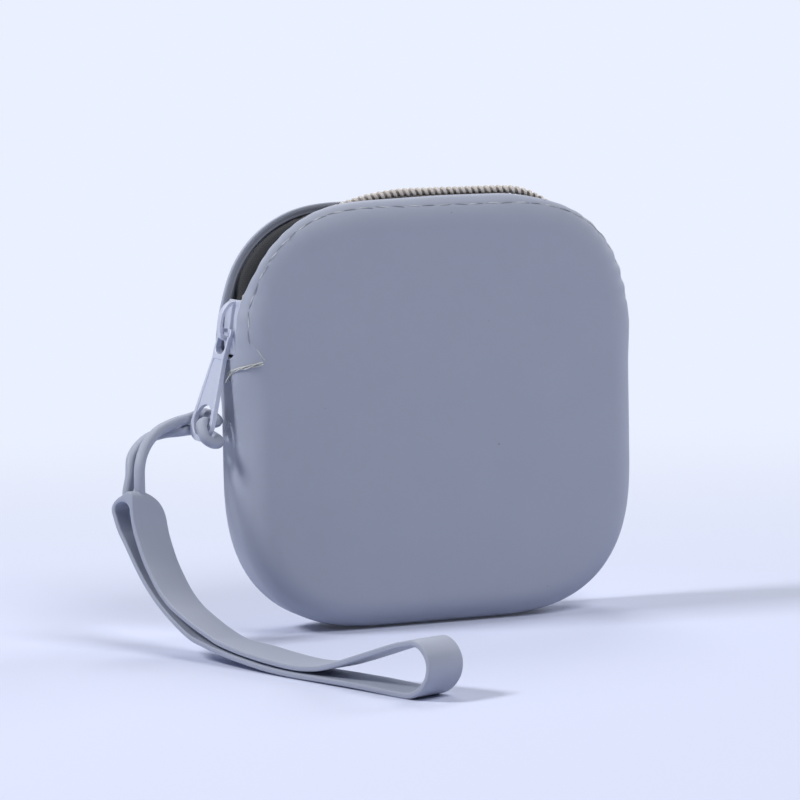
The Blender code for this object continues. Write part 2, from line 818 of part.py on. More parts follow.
def thread_tube(name, points, radius, material):
    """A thin thread along a line of points."""
    rings = []
    points = [np.array(point) for point in points]
    for k, point in enumerate(points):
        before, after = points[max(k - 1, 0)], points[min(k + 1, len(points) - 1)]
        direction = unit(after - before)
        side = unit(np.cross(direction, thread_up))
        rings.append(ring_about(point, side, np.cross(direction, side), radius, thread_sides))
    return new_object(name, loft(rings), material)


def seam_point(along, side, depth):
    """A place just outside the shell, at this depth below the outline."""
    center, swell = lip_center(along, side)
    turn = math.acos(min(max((edge_fillet - depth) / (edge_fillet + swell), 0.0), 1.0))
    lift = part_gap + stitch_radius
    across = center + (pouch_depth / 2 - center) * math.sin(turn)
    return place(along, depth - lift * math.cos(turn), side * (across + lift * math.sin(turn)))


def over_edge_point(along, across):
    """A place just outside the rounded edge, where the shell is whole beside the slot."""
    swell = lip_center(along, -1)[1]
    return place(along, -swell - part_gap - bartack_radius, across)


def seam_depth(along, side, start):
    """How deep the stitches run: deeper at the left end, where the row swings aside."""
    swing = 1 - smooth_share((along - start) / (lip_blend / 2))
    sag = min(lip_center(along, side)[1], 0.0)
    return stitch_depth * (1 + stitch_swing_share * swing) - sag * stitch_sag_share


def build_seams(material):
    """A row of stitches along each lip and a bar of stitches at each end."""
    start = along_at_height(-1, slot_left_height - stitch_start_margin)
    end = along_at_height(1, slot_right_height - stitch_end_margin)
    count = round((end - start) / stitch_step)
    for name, side in (("stitch_row_front", -1), ("stitch_row_back", 1)):
        points = []
        for k in range(count + 1):
            along = mix(start, end, k / count)
            points.append(seam_point(along, side, seam_depth(along, side, start)))
        thread_tube(name, points, stitch_radius, material)
    corner_depth = seam_depth(start, -1, start)
    points = []
    for k in range(bartack_steps + 1):
        share = k / bartack_steps
        along = start - bartack_gap - bartack_drop * share
        center = lip_center(along, -1)[0]
        depth = corner_depth * (1 - 2 * share)
        if depth > 0:
            points.append(seam_point(along, -1, depth))
        else:
            points.append(over_edge_point(along, -mix(center, bartack_end_across, 2 * share - 1)))
    thread_tube("bartack_left", points, bartack_radius, material)
    points = []
    for k in range(bartack_steps // 2 + 1):
        along = end + bartack_gap + bartack_end_drop * k / (bartack_steps // 2)
        points.append(seam_point(along, -1, stitch_depth))
    thread_tube("bartack_right", points, bartack_radius, material)


def clear_scene():
    for old in list(bpy.data.objects):
        bpy.data.objects.remove(old, do_unlink=True)


def build_all():
    clear_scene()
    silicone = make_material("silicone", (0.234, 0.262, 0.342), 0.55, 0.0)
    painted = make_material("painted_zinc", (0.552, 0.591, 0.723), 0.35, 0.3)
    tape_cloth = make_material("tape_cloth", (0.110, 0.115, 0.125), 0.9, 0.0)
    coil_nylon = make_material("coil_nylon", (0.376, 0.323, 0.266), 0.5, 0.0)
    thread = make_material("thread", (0.160, 0.165, 0.190), 0.8, 0.0)
    build_pouch_body(silicone)
    build_tape("zip_tape_front", -1, tape_cloth)
    build_tape("zip_tape_back", 1, tape_cloth)
    build_coil("zip_coil_front", -1, coil_nylon)
    build_coil("zip_coil_back", 1, coil_nylon)
    build_stops(painted)
    build_slider(painted)
    build_puller(painted)
    build_band(silicone)
    build_cord(silicone)
    build_seams(thread)


build_all()
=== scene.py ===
# %% [markdown]
# A small silicone pouch stands on a pale table: a moulded shell, a coil zip that runs over
# its top, a painted metal slider with a drop-shaped puller, and a cord-and-band wrist strap.
# The solids of the model come first, as a fixed frame that each finished piece must fit.

# %% Load the frame
import bmesh
import bpy
import math
import numpy as np
from mathutils import Matrix, Vector


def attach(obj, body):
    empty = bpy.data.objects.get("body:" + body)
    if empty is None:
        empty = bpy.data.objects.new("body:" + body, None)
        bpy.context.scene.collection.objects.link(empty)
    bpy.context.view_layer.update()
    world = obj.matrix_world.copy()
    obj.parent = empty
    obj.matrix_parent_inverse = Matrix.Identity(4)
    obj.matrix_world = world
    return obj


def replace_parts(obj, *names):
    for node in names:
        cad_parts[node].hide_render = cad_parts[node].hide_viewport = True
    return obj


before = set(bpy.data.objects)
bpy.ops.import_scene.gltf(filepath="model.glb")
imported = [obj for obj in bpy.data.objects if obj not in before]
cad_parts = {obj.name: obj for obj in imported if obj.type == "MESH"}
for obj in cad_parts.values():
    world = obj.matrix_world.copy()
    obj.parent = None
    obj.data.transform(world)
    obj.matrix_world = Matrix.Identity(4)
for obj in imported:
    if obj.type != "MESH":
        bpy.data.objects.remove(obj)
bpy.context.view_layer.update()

# %% [markdown]
# The camera stands where the photographer stood: a little to the left of the pouch's middle and
# a little above it, with a long lens, so the pouch hardly narrows towards the back.

# %% Camera
camera_place = Vector((-0.30797, -0.73709, 0.12751))
camera_heading_degrees = 22.22
camera_pitch_degrees = 5.57
camera_roll_degrees = -1.09
camera_lens = 161.3

heading, pitch, roll = (math.radians(angle) for angle in (
    camera_heading_degrees, camera_pitch_degrees, camera_roll_degrees))
look = Vector((math.sin(heading) * math.cos(pitch), math.cos(heading) * math.cos(pitch),
               -math.sin(pitch)))
level_right = Vector((math.cos(heading), -math.sin(heading), 0.0))
level_up = level_right.cross(look)
right = level_right * math.cos(roll) + level_up * math.sin(roll)
up = level_up * math.cos(roll) - level_right * math.sin(roll)
camera_data = bpy.data.cameras.new("camera")
camera_data.lens = camera_lens
camera_data.sensor_width = 36.0
camera = bpy.data.objects.new("camera", camera_data)
bpy.context.collection.objects.link(camera)
turn = Matrix((right, up, -look)).transposed()
camera.matrix_world = Matrix.Translation(camera_place) @ turn.to_4x4()
bpy.context.scene.camera = camera
bpy.context.scene.view_settings.view_transform = "Standard"
print("camera at", tuple(round(value, 3) for value in camera_place))

# %% [markdown]
# Materials are small networks of nodes. A few helpers keep them short. One turns a colour written
# as on a screen into the linear light that a renderer counts in, and one adds a node with its
# settings and links. The others stand for the three nodes that come back most: one step of
# arithmetic, one range of numbers turned into another, and one colour that runs into another.

# %% Helpers for materials


def linear(code, alpha=1.0):
    """A colour such as "848C9E" as linear light."""
    values = [int(code[k:k + 2], 16) / 255 for k in (0, 2, 4)]
    light = [value / 12.92 if value <= 0.04045 else ((value + 0.055) / 1.055) ** 2.4
             for value in values]
    return (*light, alpha)


def add(tree, kind, settings=None, **links):
    """Add a node: settings by attribute name, links or values by the input's name or number."""
    node = tree.nodes.new(kind)
    for key, value in (settings or {}).items():
        setattr(node, key, value)
    for key, value in links.items():
        name = int(key[1:]) if key[0] == "i" and key[1:].isdigit() else key.replace("_", " ")
        socket = node.inputs[name]
        if isinstance(value, bpy.types.NodeSocket):
            tree.links.new(value, socket)
        else:
            socket.default_value = value
    return node


def work_out(tree, operation, *numbers):
    """One step of arithmetic; each number is a value or another node's output."""
    given = {"i" + str(k): number for k, number in enumerate(numbers)}
    return add(tree, "ShaderNodeMath", {"operation": operation}, **given).outputs[0]


def stretch(tree, value, start, end, low=0.0, high=1.0, kind="LINEAR"):
    """Turn what runs from start to end into what runs from low to high."""
    return add(tree, "ShaderNodeMapRange", {"interpolation_type": kind}, Value=value,
               i1=start, i2=end, i3=low, i4=high).outputs["Result"]


def run_colours(tree, share, first, second):
    """One colour into another; the first may come from a node."""
    start = first if isinstance(first, bpy.types.NodeSocket) else linear(first)
    return add(tree, "ShaderNodeMix", {"data_type": "RGBA"}, i0=share, i6=start,
               i7=linear(second)).outputs[2]


def new_material(name):
    """An empty material, with the shader that the other nodes feed."""
    material = bpy.data.materials.new(name)
    material.use_nodes = True
    tree = material.node_tree
    return material, tree, tree.nodes["Principled BSDF"]


def link(tree, output, shader, name):
    tree.links.new(output, shader.inputs[name])


print("helpers for materials are ready")

# %% [markdown]
# The silicone is moulded rubber with a fine matt skin, blue-grey all through. What the eye sees is
# a soft sheen that breaks up a little, faint cloudy patches where hands have polished it, and a
# few specks of lint, which silicone always gathers. The grain of the mould is finer than the
# picture can show, so it is drawn at 0.25 mm.

# %% Moulded silicone
silicone_colour = "A0A6B7"
silicone_worn_colour = "A5ABBB"
lint_colour = "5A5E66"
grain_size = 0.00025
grain_height = 0.000012
cloud_size = 0.012
cloud_low = 0.3
cloud_high = 0.7
lint_spacing = 0.0085
lint_core_share = 0.012
lint_edge_share = 0.030
lint_strength = 0.55
least_matt = 0.50
most_matt = 0.60

moulded_silicone, tree, shader = new_material("moulded_silicone")
places = add(tree, "ShaderNodeTexCoord").outputs["Object"]
clouds = add(tree, "ShaderNodeTexNoise", Vector=places, Scale=1 / cloud_size, Detail=3.0)
grain = add(tree, "ShaderNodeTexNoise", Vector=places, Scale=1 / grain_size, Detail=2.0)
body_colour = run_colours(tree, clouds.outputs["Fac"], silicone_colour, silicone_worn_colour)
specks = add(tree, "ShaderNodeTexVoronoi", Vector=places, Scale=1 / lint_spacing)
speck = stretch(tree, specks.outputs["Distance"], lint_core_share, lint_edge_share,
                lint_strength, 0.0)
with_lint = run_colours(tree, speck, body_colour, lint_colour)
sheen = stretch(tree, clouds.outputs["Fac"], cloud_low, cloud_high, least_matt, most_matt)
skin = add(tree, "ShaderNodeBump", Height=grain.outputs["Fac"], Strength=0.5,
           Distance=grain_height)
link(tree, with_lint, shader, "Base Color")
link(tree, sheen, shader, "Roughness")
link(tree, skin.outputs["Normal"], shader, "Normal")
shader.inputs["IOR"].default_value = 1.42
shader.inputs["Specular IOR Level"].default_value = 0.4
shader.inputs["Subsurface Weight"].default_value = 0.05
shader.inputs["Subsurface Radius"].default_value = (0.0012, 0.0009, 0.0007)
print("silicone grain", grain_size * 1000, "mm")

# %% [markdown]
# The slider, puller and stops are die-cast zinc under a satin paint of the pouch's own colour, a
# shade lighter. Paint fills small corners and thins on edges, so the surface has a slow ripple
# and the edges are slightly paler.

# %% Painted zinc
paint_colour = "C2C8DA"
paint_thin_colour = "D4D8E6"
ripple_size = 0.0012
ripple_height = 0.000008
ripple_low = 0.3
ripple_high = 0.7
least_satin = 0.33
most_satin = 0.42
flat_pointiness = 0.50
edge_pointiness = 0.56
edge_thinning = 0.8

painted_zinc, tree, shader = new_material("painted_zinc")
places = add(tree, "ShaderNodeTexCoord").outputs["Object"]
ripple = add(tree, "ShaderNodeTexNoise", Vector=places, Scale=1 / ripple_size, Detail=2.0)
geometry = add(tree, "ShaderNodeNewGeometry")
edges = stretch(tree, geometry.outputs["Pointiness"], flat_pointiness, edge_pointiness,
                0.0, edge_thinning)
paint = run_colours(tree, edges, paint_colour, paint_thin_colour)
coat = add(tree, "ShaderNodeBump", Height=ripple.outputs["Fac"], Strength=0.4,
           Distance=ripple_height)
gloss = stretch(tree, ripple.outputs["Fac"], ripple_low, ripple_high, least_satin, most_satin)
link(tree, paint, shader, "Base Color")
link(tree, coat.outputs["Normal"], shader, "Normal")
link(tree, gloss, shader, "Roughness")
shader.inputs["Metallic"].default_value = 0.15
print("paint", paint_colour)

# %% [markdown]
# Zip tape is woven polyester, a herringbone with about 0.6 mm between threads. Its colour is partly
# painted shade: a dark grey, darkened nearly to black for the shade of the opening that the tape
# lies in. The pattern is worked out instead of painted on a picture. It follows the tape's own map,
# across the tape and along it, so its sizes are in millimetres.

# %% Woven tape
# Painted shade: both tape colours are a dark grey darkened nearly to black for the shade of the
# opening, and the weave's raised threads are a little paler.
tape_shade_colour = "24262A"
tape_shade_pale_colour = "34363A"
weave_height = 0.00006
rib_width_mm = 0.6
thread_half_pitch_mm = 0.3

woven_tape, tree, shader = new_material("woven_tape")
on_tape = add(tree, "ShaderNodeUVMap").outputs["UV"]
split = add(tree, "ShaderNodeSeparateXYZ", Vector=on_tape)
rib = work_out(tree, "PINGPONG", split.outputs["X"], rib_width_mm)
slanted = work_out(tree, "ADD", split.outputs["Y"], rib)
thread_wave = work_out(tree, "PINGPONG", slanted, thread_half_pitch_mm)
height = work_out(tree, "MULTIPLY", thread_wave, 1 / thread_half_pitch_mm)
shaded_cloth = run_colours(tree, height, tape_shade_colour, tape_shade_pale_colour)
relief = add(tree, "ShaderNodeBump", Height=height, Strength=0.8, Distance=weave_height)
link(tree, shaded_cloth, shader, "Base Color")
link(tree, relief.outputs["Normal"], shader, "Normal")
shader.inputs["Roughness"].default_value = 0.9
shader.inputs["Sheen Weight"].default_value = 0.2
print("tape", tape_shade_colour)

# %% [markdown]
# The coil is a nylon monofilament, slightly see-through and warm beside the grey silicone. It is
# drawn out through a die, which leaves fine streaks.

# %% Nylon monofilament
nylon_colour = "DAD4D0"
nylon_dark_colour = "B2AAA5"
streaks_per_metre = 900.0

nylon_monofilament, tree, shader = new_material("nylon_monofilament")
places = add(tree, "ShaderNodeTexCoord").outputs["Object"]
streaks = add(tree, "ShaderNodeTexNoise", Vector=places, Scale=streaks_per_metre, Detail=2.0)
nylon = run_colours(tree, streaks.outputs["Fac"], nylon_dark_colour, nylon_colour)
link(tree, nylon, shader, "Base Color")
shader.inputs["Roughness"].default_value = 0.38
shader.inputs["IOR"].default_value = 1.53
shader.inputs["Subsurface Weight"].default_value = 0.15
shader.inputs["Subsurface Radius"].default_value = (0.0006, 0.0005, 0.0004)
print("nylon", nylon_colour)

# %% [markdown]
# Sewing thread is spun polyester of two twisted plies. They are too fine to draw one by one, so the
# thread gets painted highlights instead: paler stretches where the plies catch the light, darker
# stretches of the thread's own colour between them, and a little fuzz. The bars of stitches are
# sewn with a paler thread, and a coarse cord runs inside the coils, with its colours darkened as
# painted shade inside the coil.

# %% Sewing thread
# The second colour of each thread is its painted highlight, where the twisted plies catch the
# light.
thread_colour = "858A92"
thread_highlight_colour = "CED0D2"
bar_colour = "C4C5BE"
bar_highlight_colour = "F2F2EA"
# Painted shade: the core cord's colours are darkened for the shade inside the coil.
core_shade_colour = "6E6964"
core_shade_highlight_colour = "8F8983"
twist_scale = 100.0
twist_height = 0.00005
fuzz_per_metre = 700.0
shade_end = 0.15
light_start = 0.5


def spun_thread(name, dark, light):
    """Thread that is darker and paler in turns; the paler turns are painted highlights where the
    plies catch the light.
    """
    material, tree, shader = new_material(name)
    places = add(tree, "ShaderNodeTexCoord").outputs["Object"]
    twist = add(tree, "ShaderNodeTexWave", {"wave_type": "BANDS", "bands_direction": "DIAGONAL"},
                Vector=places, Scale=twist_scale, Distortion=2.0, Detail=2.0)
    fuzz = add(tree, "ShaderNodeTexNoise", Vector=places, Scale=fuzz_per_metre, Detail=3.0)
    share = work_out(tree, "MULTIPLY", twist.outputs["Fac"], fuzz.outputs["Fac"])
    # Painted highlight: where the twist and the fuzz are high, the thread takes its paler colour.
    lit = stretch(tree, share, shade_end, light_start)
    relief = add(tree, "ShaderNodeBump", Height=twist.outputs["Fac"], Strength=0.8,
                 Distance=twist_height)
    link(tree, run_colours(tree, lit, dark, light), shader, "Base Color")
    link(tree, relief.outputs["Normal"], shader, "Normal")
    shader.inputs["Roughness"].default_value = 0.75
    shader.inputs["Sheen Weight"].default_value = 0.3
    return material


sewing_thread = spun_thread("sewing_thread", thread_colour, thread_highlight_colour)
bar_thread = spun_thread("bar_thread", bar_colour, bar_highlight_colour)
core_cord = spun_thread("core_cord", core_shade_colour, core_shade_highlight_colour)
print("materials:", len([m for m in bpy.data.materials if m.use_nodes]))

# %% [markdown]
# The table and the room behind it are one pale blue-white, as on a photographer's sweep of paper.
# A flat floor takes the shadows. Behind the pouch, and far out on every side, it turns into the
# backdrop's colour, so no horizon shows. A bent sheet would do the same from one side only.

# %% The floor
backdrop_colour = "EAF0FF"
floor_colour = "D3D9F0"
floor_size = 6.0
floor_squares = 4
fade_start = -0.06
fade_end = 0.42
far_fade_start = 0.38
far_fade_end = 0.85
level_away = Vector((math.sin(heading), math.cos(heading), 0.0))

floor_mesh = bmesh.new()
bmesh.ops.create_grid(floor_mesh, x_segments=floor_squares, y_segments=floor_squares,
                      size=floor_size / 2)
floor_data = bpy.data.meshes.new("floor")
floor_mesh.to_mesh(floor_data)
floor_mesh.free()
floor = bpy.data.objects.new("floor", floor_data)
bpy.context.collection.objects.link(floor)


def seen_rays(tree):
    """1 for what the camera sees, directly, in a gloss or through something; 0 for room light."""
    path = add(tree, "ShaderNodeLightPath").outputs
    shiny = work_out(tree, "MAXIMUM", path["Is Glossy Ray"], path["Is Transmission Ray"])
    return work_out(tree, "MAXIMUM", path["Is Camera Ray"], shiny)


table_top, tree, shader = new_material("table_top")
places = add(tree, "ShaderNodeTexCoord").outputs["Object"]
behind = add(tree, "ShaderNodeVectorMath", {"operation": "DOT_PRODUCT"}, i0=places,
             i1=tuple(level_away))
distance = add(tree, "ShaderNodeVectorMath", {"operation": "LENGTH"}, i0=places)
fade = stretch(tree, behind.outputs["Value"], fade_start, fade_end, kind="SMOOTHSTEP")
far_fade = stretch(tree, distance.outputs["Value"], far_fade_start, far_fade_end,
                   kind="SMOOTHSTEP")
faded = work_out(tree, "MAXIMUM", fade, far_fade)
seen = work_out(tree, "MULTIPLY", faded, seen_rays(tree))
glow = add(tree, "ShaderNodeEmission", Color=linear(backdrop_colour), Strength=1.0)
shader.inputs["Base Color"].default_value = linear(floor_colour)
shader.inputs["Roughness"].default_value = 0.8
shader.inputs["Specular IOR Level"].default_value = 0.2
blend = add(tree, "ShaderNodeMixShader", i0=seen, i1=shader.outputs[0], i2=glow.outputs[0])
tree.links.new(blend.outputs[0], tree.nodes["Material Output"].inputs["Surface"])
floor.data.materials.append(table_top)
print("floor", floor_size, "m across")

# %% [markdown]
# The room gives hardly any light, because the shadows in the photograph are clear. What the
# camera and the mirrors see of it is the backdrop's own colour, so the backdrop stays pale.

# %% The room
room_light = 0.05

world = bpy.data.worlds.new("room")
world.use_nodes = True
bpy.context.scene.world = world
tree = world.node_tree
tree.nodes.clear()
lighting = add(tree, "ShaderNodeBackground", Color=(1.0, 1.0, 1.0, 1.0), Strength=room_light)
backdrop = add(tree, "ShaderNodeBackground", Color=linear(backdrop_colour), Strength=1.0)
room = add(tree, "ShaderNodeMixShader", i0=seen_rays(tree), i1=lighting.outputs[0],
           i2=backdrop.outputs[0])
ending = tree.nodes.new("ShaderNodeOutputWorld")
tree.links.new(room.outputs[0], ending.inputs["Surface"])
print("room light", room_light)

# %% [markdown]
# Four square soft lamps stand round the pouch. The small one on the left draws the clear shadow
# and lights the slider's side, the large ones fill the face, the back and the right edge. Each
# place is given by two angles, so that a lamp keeps its distance when it is moved.

# %% The lamps
lamp_target = Vector((0.0, 0.0, 0.045))
lamp_distance = 1.0
# For each lamp: degrees to the left of the camera's back, degrees up, size, watts
lamps = {
    "key_lamp": (74, 42, 0.20, 6.6),
    "front_softbox": (-40, 50, 0.40, 4.4),
    "back_softbox": (180, 55, 0.40, 2.4),
    "rim_softbox": (-125, 25, 0.40, 2.8)}

for name, (lamp_around, lamp_up, lamp_size, lamp_power) in lamps.items():
    around, height = math.radians(lamp_around), math.radians(lamp_up)
    out = -level_away * math.cos(around) - level_right * math.sin(around)
    out = out * math.cos(height) + Vector((0.0, 0.0, math.sin(height)))
    lamp_data = bpy.data.lights.new(name, "AREA")
    lamp_data.size = lamp_size
    lamp_data.energy = lamp_power
    lamp = bpy.data.objects.new(name, lamp_data)
    bpy.context.collection.objects.link(lamp)
    lamp.location = lamp_target + out * lamp_distance
    lamp.rotation_mode = "QUATERNION"
    lamp.rotation_quaternion = (-out).to_track_quat("-Z", "Y")
print("lamps", len(lamps))

# %% [markdown]
# The shell, the zip and the seams all follow one outline: a square with soft corners. A place is
# given by three numbers, so that every piece can share them: how far along the outline, how deep
# below it, and how far to the front or the back.

# %% The outline
pouch_width = 0.0950
pouch_height = 0.0950
pouch_depth = 0.0200
corner_reach = 0.0356
corner_power = 2.64
edge_fillet = 0.0070
wall = 0.0018
part_gap = 0.0003
corner_steps = 120


def smooth_share(value):
    value = min(max(value, 0.0), 1.0)
    return value * value * (3.0 - 2.0 * value)


def mix(first, second, share):
    return first + (second - first) * share


def hump(value, start, rise, end, fall):
    """From 0 up to 1 past the start, and back to 0 past the end."""
    return smooth_share((value - start) / rise) * (1 - smooth_share((value - end) / fall))


def corner_points(side_x, side_z, ends):
    """One rounded corner as points and outward directions, from one end to the other."""
    center_x = side_x * (pouch_width / 2 - corner_reach)
    center_z = pouch_height / 2 + side_z * (pouch_height / 2 - corner_reach)
    rows = []
    for step in range(corner_steps + 1):
        turn = mix(ends[0], ends[1], step / corner_steps) * math.pi / 2
        across = max(math.cos(turn), 0.0) ** (2 / corner_power)
        along = max(math.sin(turn), 0.0) ** (2 / corner_power)
        normal = (side_x * across ** (corner_power - 1), side_z * along ** (corner_power - 1))
        size = math.hypot(normal[0], normal[1])
        rows.append((center_x + side_x * corner_reach * across,
                     center_z + side_z * corner_reach * along,
                     normal[0] / size, normal[1] / size))
    return rows


outline_rows = (corner_points(-1, -1, (1, 0)) + corner_points(-1, 1, (0, 1))
                + corner_points(1, 1, (1, 0)) + corner_points(1, -1, (0, 1)))
outline = np.array(outline_rows + outline_rows[:1])
outline_along = np.concatenate([[0], np.cumsum(np.hypot(np.diff(outline[:, 0]),
                                                        np.diff(outline[:, 1])))])
outline_length = outline_along[-1]


def outline_at(along):
    """Point and outward direction in X and Z, a distance along the outline."""
    row = [np.interp(along % outline_length, outline_along, outline[:, k]) for k in range(4)]
    size = math.hypot(row[2], row[3])
    return row[0], row[1], row[2] / size, row[3] / size


def along_at_height(side, height):
    """Distance along the outline where its left or right side has this height."""
    quarter = 2 * (corner_steps + 1)
    rows = slice(0, quarter) if side < 0 else slice(quarter, 2 * quarter)
    order = np.argsort(outline[rows, 1])
    return float(np.interp(height, outline[rows, 1][order], outline_along[rows][order]))


def place(along, depth, across):
    x, z, out_x, out_z = outline_at(along)
    return (x - out_x * depth, across, z - out_z * depth)


print("round the outline:", round(outline_length * 1000, 1), "mm")

# %% [markdown]
# The slot for the zip has two lips. Both stand close to the slider at its lower left end and part
# further up; the back one sags inwards where nothing holds it. Towards the right end the seam
# draws the soft edge into small scallops, about one to a stitch. Soft changes like these are
# written as humps along the outline: where one starts, over what length it rises, and the same
# for its end.

# %% The lips
slot_left = along_at_height(-1, 0.0610)
slot_right = along_at_height(1, 0.0672)
front_lip_reach = 0.0067
front_arc_reach = 0.0080
front_arc_sag = 0.0005
front_arc_start = 0.0090
front_arc_run = 0.0090
front_arc_end = 0.0270
front_arc_fade = 0.0180
front_top_lift = 0.0005
front_top_start = 0.0520
front_top_run = 0.0200
front_top_end = 0.0840
front_top_fade = 0.0120
back_lip_reach = 0.0060
slider_lip_reach = 0.0056
lip_flat = 0.0004
lip_wall = 0.0011
lip_blend = 0.0120
lip_widening_start = 0.0120
lip_widening = 0.0100
lip_swell = 0.0005
front_swell_share = 0.3
swell_start = 0.0030
swell_run = 0.0120
back_lip_sag = 0.0008
sag_start = 0.0380
sag_run = 0.0200
sag_end_start = 0.0150
sag_end_run = 0.0150
slot_end_radius = 0.0022
front_lip_end_reach = 0.0046
lip_end_run = 0.0300
scallop_pitch = 0.0043
scallop_height = 0.00050
scallop_full_share = 0.3
scallop_left_share = 0.25


def lip_center(along, side):
    """How far from the middle plane the shell's rounded edge starts, and how far it swells."""
    closed = pouch_depth / 2 - edge_fillet
    from_left = along - slot_left
    from_right = slot_right - along
    on_arc = hump(from_left, front_arc_start, front_arc_run, front_arc_end, front_arc_fade)
    full = mix(front_lip_reach, front_arc_reach, on_arc) if side < 0 else back_lip_reach
    full = mix(front_lip_end_reach, full, smooth_share(from_right / lip_end_run))
    widen = smooth_share((from_left - lip_widening_start) / lip_widening)
    reach = mix(slider_lip_reach, full, widen)
    open_share = min(smooth_share((from_left + lip_blend) / lip_blend),
                     smooth_share((from_right + lip_blend) / lip_blend))
    swell = lip_swell * hump(from_left, -lip_blend, lip_blend, swell_start, swell_run)
    if side < 0:
        on_top = hump(from_left, front_top_start, front_top_run, front_top_end, front_top_fade)
        swell = swell * front_swell_share - front_arc_sag * on_arc + front_top_lift * on_top
    else:
        sag_in = smooth_share((from_left - sag_start) / sag_run)
        sag_out = smooth_share((from_right - sag_end_start) / sag_end_run)
        swell -= back_lip_sag * sag_in * sag_out
    return mix(closed, reach, open_share), swell


def lip_opening(along):
    """From 0 at the slot's end to 1 where the lips stand their full distance apart."""
    nearest = min(along - slot_left, slot_right - along)
    return min(max(nearest / slot_end_radius, 0.0), 1.0)


def lip_edge(along, side):
    """How far the lip's edge stands from the middle plane: nothing where the shell is whole."""
    opening = lip_opening(along)
    if opening == 0:
        return 0.0
    return (lip_center(along, side)[0] - lip_flat) * math.sqrt(1 - (1 - opening) ** 2)


def scallop(along):
    """How far the stitches draw the soft edge in: most near the slot's right end."""
    from_right = slot_right - along
    right_share = 1 - smooth_share(from_right / lip_end_run - scallop_full_share)
    left_share = 1 - smooth_share((along - slot_left) / lip_end_run - 1)
    strength = max(right_share, left_share * scallop_left_share)
    strength *= smooth_share(from_right / scallop_pitch) * lip_opening(along)
    return -scallop_height * strength * (1 - abs(math.sin(math.pi * from_right / scallop_pitch)))


print("slot:", round((slot_right - slot_left) * 1000, 1), "mm")

# %% [markdown]
# The seam sinks into the silicone, because the thread pulls a soft wall tight. So the shell gets a
# shallow groove under the stitches, deepest under the middle of each one. It could be painted on
# as a bump, but it lies on the edge that the eye follows, so it is part of the shape.

# %% The seam's line
seam_left_depth = 0.0019
seam_left_run = 0.0160
seam_arc_depth = 0.0013
seam_top_depth = 0.0015
seam_fade = 0.0300
seam_right_depth = 0.0004
seam_right_start = 0.0120
seam_right_run = 0.0400
seam_swing = 0.0029
seam_swing_run = 0.0060
stitch_sag_share = 0.8
stitch_pitch = 0.0038
stitch_length = 0.0034
stitch_radius = 0.00011
groove_width = 0.00030
groove_depth = 0.00009
groove_mean = 0.75
groove_change = 0.25
seam_start = along_at_height(-1, 0.0609)
seam_end = along_at_height(1, 0.0664)
stitch_count = int((seam_end - seam_start) / stitch_pitch)


def seam_depth(along, side):
    """How deep the stitches run: deepest at the slot's left end, nearest the lip at its right."""
    from_left, from_right = along - seam_start, seam_end - along
    depth = mix(seam_left_depth, seam_arc_depth, smooth_share(from_left / seam_left_run))
    depth = mix(depth, seam_top_depth, smooth_share((from_left - lip_end_run) / lip_end_run))
    off_right = smooth_share((from_right - seam_right_start) / seam_right_run)
    depth = mix(seam_right_depth, depth, off_right)
    depth += seam_swing * (1 - smooth_share(from_left / seam_swing_run))
    depth -= min(lip_center(along, side)[1], 0.0) * stitch_sag_share
    near = smooth_share(1 + from_left / seam_fade) * smooth_share(1 + from_right / seam_fade)
    return mix(seam_top_depth, depth, near)


def seam_turn(along, side):
    """Where the stitches lie on the rounded edge: 0 is beside the lip, a quarter turn the face."""
    swell = lip_center(along, side)[1]
    return math.acos(min(max((edge_fillet - seam_depth(along, side)) / (edge_fillet + swell),
                             0.0), 1.0))


def groove_at(along, side, turn):
    """How far the groove sinks the surface here."""
    inside = smooth_share((along - seam_start) / stitch_pitch)
    inside *= smooth_share((seam_end - along) / stitch_pitch)
    off_line = (turn - seam_turn(along, side)) * edge_fillet / groove_width
    stitch = (along - seam_start) / stitch_pitch
    pull = groove_mean - groove_change * math.cos(2 * math.pi * stitch)
    return groove_depth * inside * pull * math.exp(-off_line ** 2)


print("stitches in a row:", stitch_count)

# %% [markdown]
# The shell is one skin swept along the outline, because the lips, the swell and the scallops all
# change along it. Its section runs from the middle of the lining, round the lip and the rounded
# edge, to the middle of the face. The front and the back half have a section each.

# %% One section of the shell
lip_round = 0.00032
lip_round_steps = 4
inner_round = 0.00025
inner_round_steps = 8
face_crown = 0.00015
groove_close = 0.00016
groove_clear = 0.00042
least_turn = 0.001
lip_side_rows = 7
face_side_rows = 11
face_depths = (0.0077, 0.0088, 0.0105, 0.0130, 0.0160, 0.0195)
lining_depths = (0.0090, 0.0130, 0.0190)


